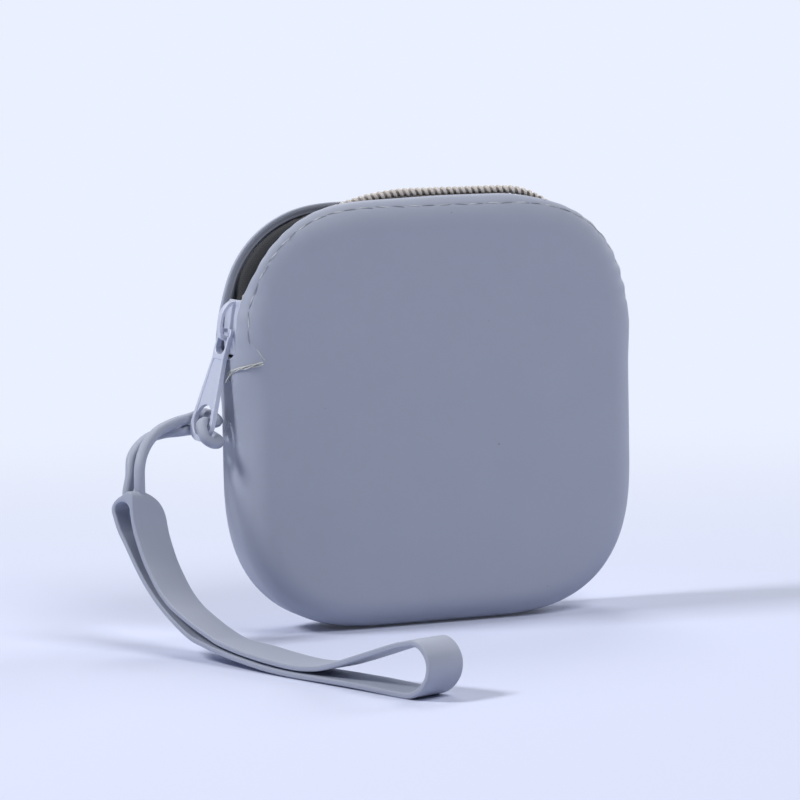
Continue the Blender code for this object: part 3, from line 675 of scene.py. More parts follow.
def shell_section(along, side):
    """One section of the shell as depths and distances across, and the rows of its lip."""
    center, swell = lip_center(along, side)
    opening = lip_opening(along)
    edge = lip_edge(along, side)
    if side < 0:
        swell += scallop(along)
    both = (lip_center(along, -1)[1] + lip_center(along, 1)[1]) / 2
    lip_top = mix(both, swell, opening)
    row = []
    for depth in reversed(lining_depths):
        row.append((depth, pouch_depth / 2 - wall))
    for k in range(inner_round_steps, -1, -1):
        turn = math.pi / 2 * k / inner_round_steps
        row.append((edge_fillet - (edge_fillet + swell - wall) * math.cos(turn),
                    center + (pouch_depth / 2 - center - wall) * math.sin(turn)))
    small = inner_round * opening
    end_wall = mix(wall, lip_wall, opening)
    row.append((end_wall - lip_top, edge + small))
    row.append((end_wall - lip_top - small, edge))
    round_now = lip_round * opening
    row.append((mix(end_wall - small, round_now, 0.5) - lip_top, edge))
    for k in range(lip_round_steps + 1):
        turn = math.pi / 2 * k / lip_round_steps
        row.append((round_now * (1 - math.sin(turn)) - lip_top,
                    edge + round_now * (1 - math.cos(turn))))
    lip_end = len(row) - 1
    middle = seam_turn(along, side)
    close, clear = groove_close / edge_fillet, groove_clear / edge_fillet
    turns = list(np.linspace(0, max(middle - clear, least_turn), lip_side_rows))
    turns += [max(middle - close, 2 * least_turn), middle, middle + close]
    turns += list(np.linspace(middle + clear, math.pi / 2, face_side_rows))
    for turn in turns:
        sunk = groove_at(along, side, turn)
        row.append((edge_fillet - (edge_fillet + swell - sunk) * math.cos(turn),
                    center + (pouch_depth / 2 - center - sunk) * math.sin(turn)))
    for depth in face_depths:
        crown = face_crown * smooth_share((depth - edge_fillet) / (2 * edge_fillet))
        row.append((depth, pouch_depth / 2 + crown))
    return row, lip_end, edge


print("points in a section:", len(shell_section(slot_left, -1)[0]))

# %% [markdown]
# The sections stand closer together along the slot than where the shell is whole, and closest at
# the slot's ends, where its shape changes most. Where the shell is whole the two halves meet in the
# middle plane and there is no lip, so the lip's faces are left out. A helper then turns the skin
# into a piece. Every other piece that is made from points uses it too.

# %% The moulded shell
body_step = 0.0017
mouth_step = 0.00068
end_steps = (0.0, 0.00008, 0.00025, 0.0005, 0.0009, 0.0013, 0.0017)
weld_distance = 1e-7

closed_run = outline_length - (slot_right - slot_left)
closed_count = round(closed_run / body_step)
mouth_run = slot_right - slot_left - 2 * slot_end_radius
mouth_count = round(mouth_run / mouth_step)
stations = [slot_right + closed_run * k / closed_count for k in range(closed_count)]
stations += [outline_length + slot_left + step for step in end_steps]
stations += [outline_length + slot_left + slot_end_radius + mouth_run * k / mouth_count
             for k in range(mouth_count + 1)]
stations += [outline_length + slot_right - step for step in reversed(end_steps[1:])]
shell_mesh = bmesh.new()
for side in (-1, 1):
    grid = []
    for station in stations:
        along = station % outline_length
        row, lip_end, edge = shell_section(along, side)
        verts = [shell_mesh.verts.new(place(along, depth, side * across))
                 for depth, across in row]
        grid.append((verts, edge))
    for k, (first, edge) in enumerate(grid):
        second, next_edge = grid[(k + 1) % len(grid)]
        for step in range(len(first) - 1):
            on_lip = len(lining_depths) + inner_round_steps + 1 <= step < lip_end
            if on_lip and edge == 0 and next_edge == 0:
                continue
            quad = (first[step], first[step + 1], second[step + 1], second[step])
            shell_mesh.faces.new(quad)
    for end in (0, -1):
        shell_mesh.faces.new([verts[end] for verts, _ in grid])
bmesh.ops.remove_doubles(shell_mesh, verts=shell_mesh.verts, dist=weld_distance)
bmesh.ops.dissolve_degenerate(shell_mesh, edges=shell_mesh.edges, dist=weld_distance)
loose = [vert for vert in shell_mesh.verts if not vert.link_faces]
bmesh.ops.delete(shell_mesh, geom=loose, context="VERTS")
bmesh.ops.recalc_face_normals(shell_mesh, faces=shell_mesh.faces)


def finish_piece(name, mesh_data, material, body, smooth_angle=None):
    """Turn mesh data into a shaded piece that rides on a body of the frame."""
    data = bpy.data.meshes.new(name)
    mesh_data.to_mesh(data)
    mesh_data.free()
    piece = bpy.data.objects.new(name, data)
    bpy.context.collection.objects.link(piece)
    data.materials.append(material)
    data.shade_smooth()
    if smooth_angle is not None:
        data.set_sharp_from_angle(angle=smooth_angle)
    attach(piece, body)
    return piece


sharp_angle = math.radians(50)
open_edges = [edge for edge in shell_mesh.edges if len(edge.link_faces) != 2]
print("shell faces", len(shell_mesh.faces), "edges not shared by two faces", len(open_edges))
shell = finish_piece("moulded_shell", shell_mesh, moulded_silicone, "pouch",
                     sharp_angle)
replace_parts(shell, "pouch_body")

# %% [markdown]
# The zip is open. Inside the slider its two rows lie side by side, and above it each row moves out
# to its own lip. At the top of the pouch both rows climb over their lips' edges, which is where
# the loops show; elsewhere they hide, the back row deeper than the front one. The slider runs on
# an arc, so the rows start on that arc.

# %% The zip's two rows
slider_tail_height = 0.0622
track_center = (-0.0180, 0.0655)
track_radius = 0.0301
chain_depth = 0.0041
chain_radius = track_radius - chain_depth
row_travel_run = 0.0220
back_row_travel_run = 0.0120
row_parting_run = 0.0150
back_row_parting_run = 0.0080
coil_pitch = 0.0015
coil_radius = 0.00115
coil_spread = 0.0026
coil_lip_distance = 0.0019
coil_rise = 0.00115
coil_tuck = 0.0026
back_coil_tuck = 0.0082
back_coil_lip_distance = 0.0028
coil_end_margin = 0.0078
coil_show_start_share = 0.26
coil_show_run_share = 0.22
coil_hide_start_share = 0.66
coil_hide_run_share = 0.14
tape_turn_depth = 0.0016
tape_turn_distance = 0.0008
slit_reach = 0.0053
halves = (("front", -1), ("back", 1))


def depth_on_circle(along, radius):
    """How deep below the outline a circle about the slider's axis runs."""
    x, z, out_x, out_z = outline_at(along)
    reach_x, reach_z = x - track_center[0], z - track_center[1]
    inward = -(reach_x * out_x + reach_z * out_z)
    room = inward ** 2 - (reach_x ** 2 + reach_z ** 2 - radius ** 2)
    return -inward - math.sqrt(max(room, 0.0))


def zip_row(along, side):
    """Depth and distance across of a row's coil and of the place where its tape turns."""
    part_way = (along - slot_left) / (slot_right - slot_left)
    on_track = depth_on_circle(along, chain_radius)
    lip, swell = lip_center(along, side)
    shown = hump(part_way, coil_show_start_share, coil_show_run_share, coil_hide_start_share,
                 coil_hide_run_share)
    tuck, distance = (coil_tuck, coil_lip_distance) if side < 0 else (
        back_coil_tuck, back_coil_lip_distance)
    free_depth = mix(tuck, -coil_rise, shown) - min(swell, 0.0)
    distance = mix(distance, coil_lip_distance, shown)
    travel, parting = (row_travel_run, row_parting_run) if side < 0 else (
        back_row_travel_run, back_row_parting_run)
    apart = smooth_share((along - slot_left - travel) / parting)
    coil_depth = mix(on_track, free_depth, apart)
    coil_across = mix(coil_spread, lip - distance, apart)
    turn_depth = mix(on_track, tape_turn_depth - min(swell, 0.0), apart)
    turn_across = mix(slit_reach, lip - tape_turn_distance, apart)
    return coil_depth, coil_across, turn_depth, turn_across


coil_start = along_at_height(-1, slider_tail_height)
coil_end = slot_right - coil_end_margin
print("each row:", round((coil_end - coil_start) * 1000, 1), "mm")

# %% [markdown]
# Tapes, threads, castings and the strap are all skins through rings of points, and most of them
# follow a line. Three helpers serve them: a smooth line through a few points, the loft of a skin
# through rings, and the rings that make a thread out of a line.

# %% A smooth line, a loft and a thread
samples_per_span = 16
thread_sides = 8
thread_end_share = 0.55
thread_near_end_share = 0.9


def smooth_line(route, spacing, closed=False):
    """Even points on a smooth curve through a few points."""
    points = np.array(route, dtype=float)
    if closed:
        padded = np.vstack([points[-1:], points, points[:2]])
    else:
        padded = np.vstack([2 * points[0] - points[1], points, 2 * points[-1] - points[-2]])
    shares = np.linspace(0, 1, samples_per_span, endpoint=False)[:, None]
    fine = []
    for before, first, second, after in zip(padded, padded[1:], padded[2:], padded[3:]):
        fine.append(0.5 * (2 * first + (second - before) * shares
                           + (2 * before - 5 * first + 4 * second - after) * shares ** 2
                           + (3 * first - before - 3 * second + after) * shares ** 3))
    fine = np.vstack(fine + [points[:1] if closed else points[-1:]])
    steps = np.concatenate([[0], np.cumsum(np.linalg.norm(np.diff(fine, axis=0), axis=1))])
    count = max(round(steps[-1] / spacing), 2)
    spots = np.linspace(0, steps[-1], count + 1)
    even = np.column_stack([np.interp(spots, steps, fine[:, k]) for k in range(points.shape[1])])
    return even[:-1] if closed else even


def loft(rings, closed_length=False, maps=None):
    """A skin through closed rings of points, with flat ends unless the length closes."""
    skin = bmesh.new()
    rows = [[skin.verts.new(point) for point in ring] for ring in rings]
    pairs = list(zip(rows, rows[1:] + rows[:1])) if closed_length else list(zip(rows, rows[1:]))
    for first, second in pairs:
        for k in range(len(first)):
            after = (k + 1) % len(first)
            skin.faces.new((first[k], first[after], second[after], second[k]))
    if not closed_length:
        skin.faces.new(list(reversed(rows[0])))
        skin.faces.new(rows[-1])
    bmesh.ops.recalc_face_normals(skin, faces=skin.faces)
    if maps is not None:
        layer = skin.loops.layers.uv.new("millimetres")
        flat_maps = [spot for ring in maps for spot in ring]
        skin.verts.index_update()
        for face in skin.faces:
            for corner in face.loops:
                corner[layer].uv = flat_maps[corner.vert.index]
    return skin


def thread_rings(line, radius):
    """Rings round a line of points, a little smaller at its ends, to be lofted as a thread."""
    points = [Vector(point) for point in line]
    side = None
    rings = []
    for k, point in enumerate(points):
        direction = (points[min(k + 1, len(points) - 1)] - points[max(k - 1, 0)]).normalized()
        if side is None:
            side = direction.orthogonal().normalized()
        side = (side - direction * side.dot(direction)).normalized()
        other = direction.cross(side)
        from_end = min(k, len(points) - 1 - k)
        size = radius * {0: thread_end_share, 1: thread_near_end_share}.get(from_end, 1.0)
        turns = [2 * math.pi * j / thread_sides for j in range(thread_sides)]
        rings.append([point + (side * math.cos(t) + other * math.sin(t)) * size for t in turns])
    return rings


print("helpers for lines and lofts are ready")

# %% [markdown]
# Each tape is a thin strip: it leaves the coil, turns under the lip and lies flat on the lining,
# where the seam holds it. Such a strip could be a flat sheet bent into place, but every section
# of it is known from the lip and the coil. So it is lofted through many thin sections, with a map
# in millimetres for the weave.

# %% The tapes
tape_thickness = 0.00055
tape_flat_width = 0.0036
tape_overlap_end = 0.0030
tape_step = 0.0011
tape_points = 13
tape_turn_shares = (0.5, 0.7, 0.88)


def shell_point(along, side, share, inset):
    """A place on the shell's rounded edge: share 0 is beside the lip, 1 is on the face."""
    center, swell = lip_center(along, side)
    turn = share * math.pi / 2
    return (edge_fillet - (edge_fillet + swell - inset) * math.cos(turn),
            center + (pouch_depth / 2 - center - inset) * math.sin(turn))


def tape_line(along, side):
    """The tape's middle line across the zip, from the coil to its inner edge."""
    coil_depth, coil_across, turn_depth, turn_across = zip_row(along, side)
    step = np.array((turn_depth - coil_depth, turn_across - coil_across))
    start = np.array((coil_depth, coil_across)) + step * (
        (coil_radius + part_gap) / np.linalg.norm(step))
    line = [tuple(start), (turn_depth, turn_across)]
    inset = wall + part_gap + tape_thickness / 2
    for share in tape_turn_shares:
        depth, across = shell_point(along, side, share, inset)
        line.append((max(depth, turn_depth), across))
    depth, across = shell_point(along, side, 1.0, inset)
    return line + [(depth + tape_flat_width, across)]


def thicken(line, thickness):
    """Both faces of a thin strip whose middle line is given, as one ring of points."""
    directions = np.gradient(line, axis=0)
    directions /= np.linalg.norm(directions, axis=1)[:, None]
    normals = np.column_stack([-directions[:, 1], directions[:, 0]])
    return np.vstack([line + normals * thickness / 2, (line - normals * thickness / 2)[::-1]])


first, last = slot_left - tape_overlap_end, slot_right + tape_overlap_end
for half, side in halves:
    rings, maps, full_widths = [], [], []
    for along in np.linspace(first, last, round((last - first) / tape_step)):
        line = smooth_line(tape_line(along, side), tape_thickness)
        line = line[np.linspace(0, len(line) - 1, tape_points).round().astype(int)]
        line[1:-1] = (line[:-2] + line[2:]) / 2
        widths = np.concatenate([[0], np.cumsum(np.linalg.norm(np.diff(line, axis=0), axis=1))])
        rings.append([place(along, depth, side * across)
                      for depth, across in thicken(line, tape_thickness)])
        both = np.concatenate([widths, widths[::-1]]) * 1000
        maps.append([(across, along * 1000) for across in both])
        full_widths.append(widths[-1] * 1000)
    tape = finish_piece("woven_tape_" + half, loft(rings, maps=maps), woven_tape, "pouch",
                        sharp_angle)
    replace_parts(tape, "zip_tape_" + half)
    print(tape.name, round((last - first) * 1000, 1), "mm long,", round(min(full_widths), 1),
          "to", round(max(full_widths), 1), "mm wide")

# %% [markdown]
# At the slot's lower end a short web of tape joins both sides, so that nobody looks into the pouch
# below the slider. It lies just outside the coils' start and follows the slider's arc, so a few
# flat sections will do.

# %% The web of tape
web_start = 0.0006
web_past_coil = 0.0030
web_sections = 8

web_rings = []
for along in np.linspace(slot_left + web_start, coil_start + web_past_coil, web_sections):
    depth = depth_on_circle(along, chain_radius) - coil_radius
    web_rings.append([place(along, depth + lift, across) for across, lift in (
        (-slit_reach, 0.0), (slit_reach, 0.0), (slit_reach, -tape_thickness),
        (-slit_reach, -tape_thickness))])
# The web takes the tape's colour, which is painted shade, nearly black.
web = finish_piece("woven_end_web", loft(web_rings), woven_tape, "pouch")
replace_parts(web, "zip_tape_front")
print("web:", round((coil_start + web_past_coil - slot_left - web_start) * 1000, 1), "mm long")

# %% [markdown]
# What repeats by a rule, the zip's loops and the stitches, is drawn by Geometry Nodes. The helpers
# make such a tree with named inputs, end it, run it and keep its result as a plain mesh, and make
# the line that it starts from.

# %% Helpers for Geometry Nodes


def new_tree(name, inputs):
    """A tree with a geometry input, named number inputs and a material input."""
    tree = bpy.data.node_groups.new(name, "GeometryNodeTree")
    tree.interface.new_socket("Geometry", in_out="INPUT", socket_type="NodeSocketGeometry")
    for label in inputs:
        tree.interface.new_socket(label, in_out="INPUT", socket_type="NodeSocketFloat")
    tree.interface.new_socket("Material", in_out="INPUT", socket_type="NodeSocketMaterial")
    tree.interface.new_socket("Geometry", in_out="OUTPUT", socket_type="NodeSocketGeometry")
    return tree, add(tree, "NodeGroupInput").outputs


def end_tree(tree, geometry, given):
    """Every tree ends the same way: real meshes, shaded smooth, in the piece's material."""
    smooth = add(tree, "GeometryNodeSetShadeSmooth", Geometry=geometry)
    real = add(tree, "GeometryNodeRealizeInstances", Geometry=smooth.outputs[0])
    painted = add(tree, "GeometryNodeSetMaterial", Geometry=real.outputs[0],
                  Material=given["Material"])
    add(tree, "NodeGroupOutput", Geometry=painted.outputs[0])


def grow(name, base, tree, values, material, body="pouch"):
    """Run a tree on points or lines, and keep its result as a plain mesh."""
    seed = bpy.data.objects.new(name + "_line", base)
    bpy.context.collection.objects.link(seed)
    modifier = seed.modifiers.new("grow", "NODES")
    modifier.node_group = tree
    identifiers = {item.name: item.identifier for item in tree.interface.items_tree
                   if item.in_out == "INPUT"}
    for label, value in dict(values, Material=material).items():
        modifier[identifiers[label]] = value
    evaluated = seed.evaluated_get(bpy.context.evaluated_depsgraph_get())
    mesh = bpy.data.meshes.new_from_object(evaluated)
    bpy.data.objects.remove(seed)
    mesh.name = name
    piece = bpy.data.objects.new(name, mesh)
    bpy.context.collection.objects.link(piece)
    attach(piece, body)
    return piece


def line_mesh(name, points):
    mesh = bpy.data.meshes.new(name)
    mesh.from_pydata([tuple(point) for point in points],
                     [(k, k + 1) for k in range(len(points) - 1)], [])
    return mesh


print("helpers for Geometry Nodes are ready")

# %% [markdown]
# A coil zip has no separate teeth: one nylon filament winds round and round beside the tape, and
# each loop is a tooth. Loops made one by one would be many pieces that never quite join. So the
# tree cuts a line into short steps, moves each step round the line, a full turn for every loop,
# and gives the result thickness.

# %% The tree of a coil
filament_radius = 0.00040
loop_reach = 0.00080
loop_rise = 0.00078
steps_per_loop = 14
filament_sides = 8

coil_tree, given = new_tree("wound_coil", ("Pitch", "Reach", "Rise", "Filament Radius"))
line = add(coil_tree, "GeometryNodeMeshToCurve", Mesh=given["Geometry"])
step = work_out(coil_tree, "DIVIDE", given["Pitch"], float(steps_per_loop))
fine_line = add(coil_tree, "GeometryNodeResampleCurve", {"mode": "LENGTH"},
                Curve=line.outputs[0], Length=step)
far = add(coil_tree, "GeometryNodeSplineParameter").outputs["Length"]
loops = work_out(coil_tree, "DIVIDE", far, given["Pitch"])
turned = work_out(coil_tree, "MULTIPLY", loops, 2 * math.pi)
reach = work_out(coil_tree, "MULTIPLY", work_out(coil_tree, "COSINE", turned), given["Reach"])
rise = work_out(coil_tree, "MULTIPLY", work_out(coil_tree, "SINE", turned), given["Rise"])
tangent = add(coil_tree, "GeometryNodeInputTangent").outputs[0]
out = add(coil_tree, "ShaderNodeVectorMath", {"operation": "CROSS_PRODUCT"}, i0=tangent,
          i1=(0.0, 1.0, 0.0))
across = add(coil_tree, "ShaderNodeCombineXYZ", Y=reach)
lifted = add(coil_tree, "ShaderNodeVectorMath", {"operation": "SCALE"}, i0=out.outputs[0],
             Scale=rise)
offset = add(coil_tree, "ShaderNodeVectorMath", {"operation": "ADD"}, i0=across.outputs[0],
             i1=lifted.outputs[0])
wound = add(coil_tree, "GeometryNodeSetPosition", Geometry=fine_line.outputs[0],
            Offset=offset.outputs[0])
section = add(coil_tree, "GeometryNodeCurvePrimitiveCircle", {"mode": "RADIUS"},
              Resolution=filament_sides, Radius=given["Filament Radius"])
filament = add(coil_tree, "GeometryNodeCurveToMesh", Curve=wound.outputs[0],
               Profile_Curve=section.outputs[0], Fill_Caps=True)
end_tree(coil_tree, filament.outputs[0], given)
print("nodes in the coil's tree:", len(coil_tree.nodes))

# %% [markdown]
# Each row of the zip runs the tree on its own line. Inside a coil runs a cord that the loops are
# sewn round. It fills the coil, so that nothing shines through it, and its dark colour is painted
# shade inside the coil.

# %% The coils
coil_line_points = 240
core_radius = 0.00062
coil_sizes = {"Pitch": coil_pitch, "Reach": loop_reach, "Rise": loop_rise,
              "Filament Radius": filament_radius}

for half, side in halves:
    middle = []
    for along in np.linspace(coil_start, coil_end, coil_line_points):
        depth, reach_across = zip_row(along, side)[:2]
        middle.append(place(along, depth, side * reach_across))
    name = "nylon_coil_" + half
    coil = grow(name, line_mesh(name, middle), coil_tree, coil_sizes, nylon_monofilament)
    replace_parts(coil, "zip_coil_" + half)
    core_rings = thread_rings(smooth_line(middle, core_radius * 2), core_radius)
    core = finish_piece("coil_core_" + half, loft(core_rings), core_cord, "pouch")
    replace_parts(core, "zip_coil_" + half)
    print(name, len(coil.data.polygons), "faces")

# %% [markdown]
# The three stops are plain small blocks, of which next to nothing shows. The model's own solids
# are good enough for them and only get the paint.

# %% The stops
stops = ("bottom_stop", "top_stop_front", "top_stop_back")
for node in stops:
    for material_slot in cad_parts[node].material_slots:
        material_slot.material = painted_zinc
print("stops painted:", len(stops))

# %% [markdown]
# The stitches are short arcs of thread. Each one dives into the silicone at both ends, and a hand
# guided machine never lays two quite alike, so each is turned a little by chance, always the same
# chance. A second tree places them on points that carry their own directions.

# %% The tree of a row of stitches
stitch_sides = 7
stitch_bends = 7
chance_seed = 4

stitch_tree, given = new_tree("row_of_stitches", ("Length", "Thread Radius", "Sink", "Rise",
                                                  "Slant"))
low = work_out(stitch_tree, "MULTIPLY", given["Sink"], -1.0)
ends = [add(stitch_tree, "ShaderNodeCombineXYZ", Z=low,
            X=work_out(stitch_tree, "MULTIPLY", given["Length"], share)) for share in (-0.5, 0.5)]
top = add(stitch_tree, "ShaderNodeCombineXYZ", Z=given["Rise"])
arc = add(stitch_tree, "GeometryNodeCurveQuadraticBezier", Resolution=stitch_bends,
          Start=ends[0].outputs[0], Middle=top.outputs[0], End=ends[1].outputs[0])
section = add(stitch_tree, "GeometryNodeCurvePrimitiveCircle", {"mode": "RADIUS"},
              Resolution=stitch_sides, Radius=given["Thread Radius"])
stitch = add(stitch_tree, "GeometryNodeCurveToMesh", Curve=arc.outputs[0],
             Profile_Curve=section.outputs[0], Fill_Caps=True)
chance = add(stitch_tree, "FunctionNodeRandomValue", {"data_type": "FLOAT"}, i2=-1.0, i3=1.0,
             Seed=chance_seed)
slant = work_out(stitch_tree, "MULTIPLY", chance.outputs[1], given["Slant"])
slant_axis = add(stitch_tree, "ShaderNodeCombineXYZ", Z=slant)
slant_turn = add(stitch_tree, "FunctionNodeEulerToRotation", Euler=slant_axis.outputs[0])
ahead, outward = (add(stitch_tree, "GeometryNodeInputNamedAttribute",
                      {"data_type": "FLOAT_VECTOR"}, Name=label) for label in ("ahead", "outward"))
facing = add(stitch_tree, "FunctionNodeAxesToRotation",
             {"primary_axis": "Z", "secondary_axis": "X"}, Primary_Axis=outward.outputs[0],
             Secondary_Axis=ahead.outputs[0])
turned = add(stitch_tree, "FunctionNodeRotateRotation", {"rotation_space": "LOCAL"},
             Rotation=facing.outputs[0], Rotate_By=slant_turn.outputs[0])
row = add(stitch_tree, "GeometryNodeInstanceOnPoints", Points=given["Geometry"],
          Instance=stitch.outputs[0], Rotation=turned.outputs[0])
end_tree(stitch_tree, row.outputs[0], given)
print("nodes in the stitches' tree:", len(stitch_tree.nodes))

# %% [markdown]
# A stitch lies on the shell's rounded edge, in its groove. So its place comes from the same
# formulas as the shell, and its direction from the places of its own two ends.

# %% The seams
stitch_sink = 0.00010
stitch_rise = 0.00017
stitch_slant_degrees = 9.0
stitch_bed_share = 0.5
stitch_sizes = {"Length": stitch_length, "Thread Radius": stitch_radius, "Sink": stitch_sink,
                "Rise": stitch_rise, "Slant": math.radians(stitch_slant_degrees)}


def on_edge(along, side, turn, lift=0.0):
    """A place on the shell's rounded edge, or a lift above it, and the way out of the shell."""
    center, swell = lip_center(along, side)
    swell += scallop(along) if side < 0 else 0.0
    out = Vector(place(along, -math.cos(turn), side * math.sin(turn)))
    out -= Vector(place(along, 0.0, 0.0))
    depth = edge_fillet - (edge_fillet + swell) * math.cos(turn)
    across = center + (pouch_depth / 2 - center) * math.sin(turn)
    return Vector(place(along, depth, side * across)) + out * lift, out


def stitch_points(side):
    """The middle of each stitch, with the directions that it follows."""
    rows = []
    for k in range(stitch_count):
        along = seam_start + stitch_pitch * (k + 0.5)
        spots = [on_edge(at, side, seam_turn(at, side), -groove_depth * stitch_bed_share)
                 for at in (along - stitch_length / 2, along, along + stitch_length / 2)]
        rows.append((spots[1][0], (spots[2][0] - spots[0][0]).normalized(), spots[1][1]))
    return rows


for half, side in halves:
    name = "stitches_" + half
    rows = stitch_points(side)
    points = bpy.data.meshes.new(name)
    points.from_pydata([tuple(row[0]) for row in rows], [], [])
    for label, k in (("ahead", 1), ("outward", 2)):
        attribute = points.attributes.new(label, "FLOAT_VECTOR", "POINT")
        attribute.data.foreach_set("vector", [value for row in rows for value in row[k]])
    stitches = grow(name, points, stitch_tree, stitch_sizes, sewing_thread)
    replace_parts(stitches, "stitch_row_" + half)
    print(name, len(rows), "stitches")

# %% [markdown]
# Where the zip starts, a bar of stitches closes the slot's end. In fact it is one thread sewn over
# and over. One thread with all its turns would be hard to steer, so the bar is drawn as a few
# strands that twist round each other and loosen towards the end, with two cut tails.

# %% The bar of stitches on the left
bar_radius = 0.00010
bar_strands = 3
bar_points = 40
bar_twist_turns = 1.9
bar_spread = 0.00030
bar_sway_share = 0.35
bar_sway_rate = 9
bar_thickness_share = 0.45
bar_bed_share = 0.9
bar_loose_start = 0.55
bar_loose_spread = 0.9
bar_loose_flatness = 0.7
bar_drop = 0.0031
bar_gap = 0.0003
bar_end_across = 0.0008
bar_past_edge = 1.9
bar_end_reached = 0.9
bar_look_ahead = 0.02
thread_step = 0.0002
tail_length = 0.0022
tail_points = 9
tail_forward = -0.25
tail_down = -0.8
tail_lift = 0.25
tail_bulge = 0.00035
tail_curl = 0.00045
tail_half_waves = 1.5
# For each tail: where on the bar it leaves, how far it leans to the right, which way it curls
tails = ((0.93, 0.35, 1.0), (0.80, -0.25, -1.0))


def join_skins(skins):
    """Several skins as one."""
    whole = bmesh.new()
    for skin in skins:
        mesh = bpy.data.meshes.new("part")
        skin.to_mesh(mesh)
        skin.free()
        whole.from_mesh(mesh)
        bpy.data.meshes.remove(mesh)
    return whole


def thread_bar(name, lines, node):
    """Several threads as one piece on the pouch."""
    skins = [loft(thread_rings(smooth_line(line, thread_step), bar_radius)) for line in lines]
    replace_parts(finish_piece(name, join_skins(skins), bar_thread, "pouch"), node)
    print(name, len(lines), "threads")


def bar_middle(share, lift):
    """The bar's middle line: from the front seam, down and over the rounded edge."""
    along = seam_start - bar_gap - bar_drop * share
    first_turn = seam_turn(seam_start, -1)
    turn = first_turn * (1 - share * bar_past_edge)
    if turn >= 0:
        return on_edge(along, -1, turn, lift)
    center, swell = lip_center(along, -1)
    reach = mix(center, bar_end_across, min(-turn / (bar_end_reached * first_turn), 1.0))
    spot = Vector(place(along, -swell - lift, -reach))
    out = (Vector(place(along, -1.0, 0.0)) - Vector(place(along, 0.0, 0.0))).normalized()
    return spot, out


lines = []
for which in range(bar_strands):
    line = []
    for k in range(bar_points):
        share = k / (bar_points - 1)
        spot, out = bar_middle(share, bar_radius * bar_bed_share)
        ahead = (bar_middle(min(share + bar_look_ahead, 1.0), 0)[0]
                 - bar_middle(max(share - bar_look_ahead, 0.0), 0)[0]).normalized()
        beside = ahead.cross(out)
        turn = 2 * math.pi * (bar_twist_turns * share + which / bar_strands)
        loose = smooth_share((share - bar_loose_start) / (1 - bar_loose_start))
        sway = bar_sway_share * math.sin(bar_sway_rate * share + which)
        spread = bar_spread * (1.0 + sway + bar_loose_spread * loose)
        height = bar_spread * bar_thickness_share * (1 - bar_loose_flatness * loose)
        line.append(spot + beside * math.cos(turn) * spread
                    + out * (math.sin(turn) + 1) * height)
    lines.append(line)
for share, lean, curl in tails:
    spot, out = bar_middle(share, bar_radius)
    line = []
    for k in range(tail_points):
        part = k / (tail_points - 1)
        run = tail_length * part
        wave = tail_curl * curl * math.sin(tail_half_waves * math.pi * part)
        line.append(spot + Vector((lean, tail_forward, tail_down)).normalized() * run
                    + out * (tail_lift * run + tail_bulge * math.sin(math.pi * part))
                    + Vector((0.0, wave, 0.0)))
    lines.append(line)
thread_bar("bar_of_stitches_left", lines, "bartack_left")

# %% [markdown]
# At the zip's far end a shorter bar closes the slot. It lies tight on the edge and has no tails, so
# three wavy strands beside each other are enough.

# %% The bar of stitches on the right
right_bar_strands = 3
right_bar_points = 16
right_bar_length = 0.0022
right_bar_sink_share = 0.6
right_bar_wave_points = 11
right_bar_spread_share = 0.6
right_bar_height_share = 0.3

lines = []
for which in range(right_bar_strands):
    line = []
    for k in range(right_bar_points):
        along = seam_end + bar_gap + right_bar_length * k / (right_bar_points - 1)
        spot, out = on_edge(along, -1, seam_turn(seam_end, -1),
                            -bar_radius * right_bar_sink_share)
        wave = k / right_bar_wave_points + which / right_bar_strands
        shift = math.cos(2 * math.pi * wave) * bar_spread * right_bar_spread_share
        beside = out.cross(Vector((0, 1, 0))).cross(out)
        line.append(spot + out * shift * right_bar_height_share + beside * shift)
    lines.append(line)
thread_bar("bar_of_stitches_right", lines, "bartack_right")

# %% [markdown]
# The slider and the puller are small castings. A casting has no sharp edges, and where two
# walls meet metal fills the corner. So their plain blocks are laid into each other and melted
# into one skin by a voxel remesh, and a few rounds of smoothing soften every edge.

# %% Melting blocks into a casting
casting_voxel = 0.00011
softening_rounds = 4
softening_factor = 0.5


def rough_object(name, skin):
    """A plain object that only helps to make a casting."""
    mesh = bpy.data.meshes.new(name)
    skin.to_mesh(mesh)
    skin.free()
    helper = bpy.data.objects.new(name, mesh)
    bpy.context.collection.objects.link(helper)
    return helper


def cast(name, blocks, cutters, voxel, body, node):
    """Melt overlapping blocks into one casting, less the cutters, with soft edges."""
    rough = rough_object(name + "_blocks", join_skins(blocks))
    tools = [rough_object(name + "_cutter", cutter) for cutter in cutters]
    for tool in tools:
        modifier = rough.modifiers.new("cut", "BOOLEAN")
        modifier.operation = "DIFFERENCE"
        modifier.object = tool
    melt = rough.modifiers.new("melt", "REMESH")
    melt.mode = "VOXEL"
    melt.voxel_size = voxel
    soften = rough.modifiers.new("soften", "SMOOTH")
    soften.factor = softening_factor
    soften.iterations = softening_rounds
    evaluated = rough.evaluated_get(bpy.context.evaluated_depsgraph_get())
    skin = bmesh.new()
    skin.from_mesh(bpy.data.meshes.new_from_object(evaluated))
    for old in tools + [rough]:
        bpy.data.objects.remove(old)
    piece = finish_piece(name, skin, painted_zinc, body)
    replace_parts(piece, node)
    print(name, len(piece.data.polygons), "faces")


print("castings are melted at", casting_voxel * 1000, "mm")

# %% [markdown]
# The slider is two plates with a wall along each side, joined by a post between the zip's rows,
# with an arch on top that holds the puller. Everything follows the slider's arc: a place is given
# by how far along the slider, how deep below the arc, and how far to the front or the back.

# %% The slider's plates
slider_length = 0.0112
slider_half_width = 0.00475
slider_wall = 0.0008
slider_wall_stub = 0.0001
slider_corner = 0.0014
slider_corner_steps = 8
slider_side_sections = 15


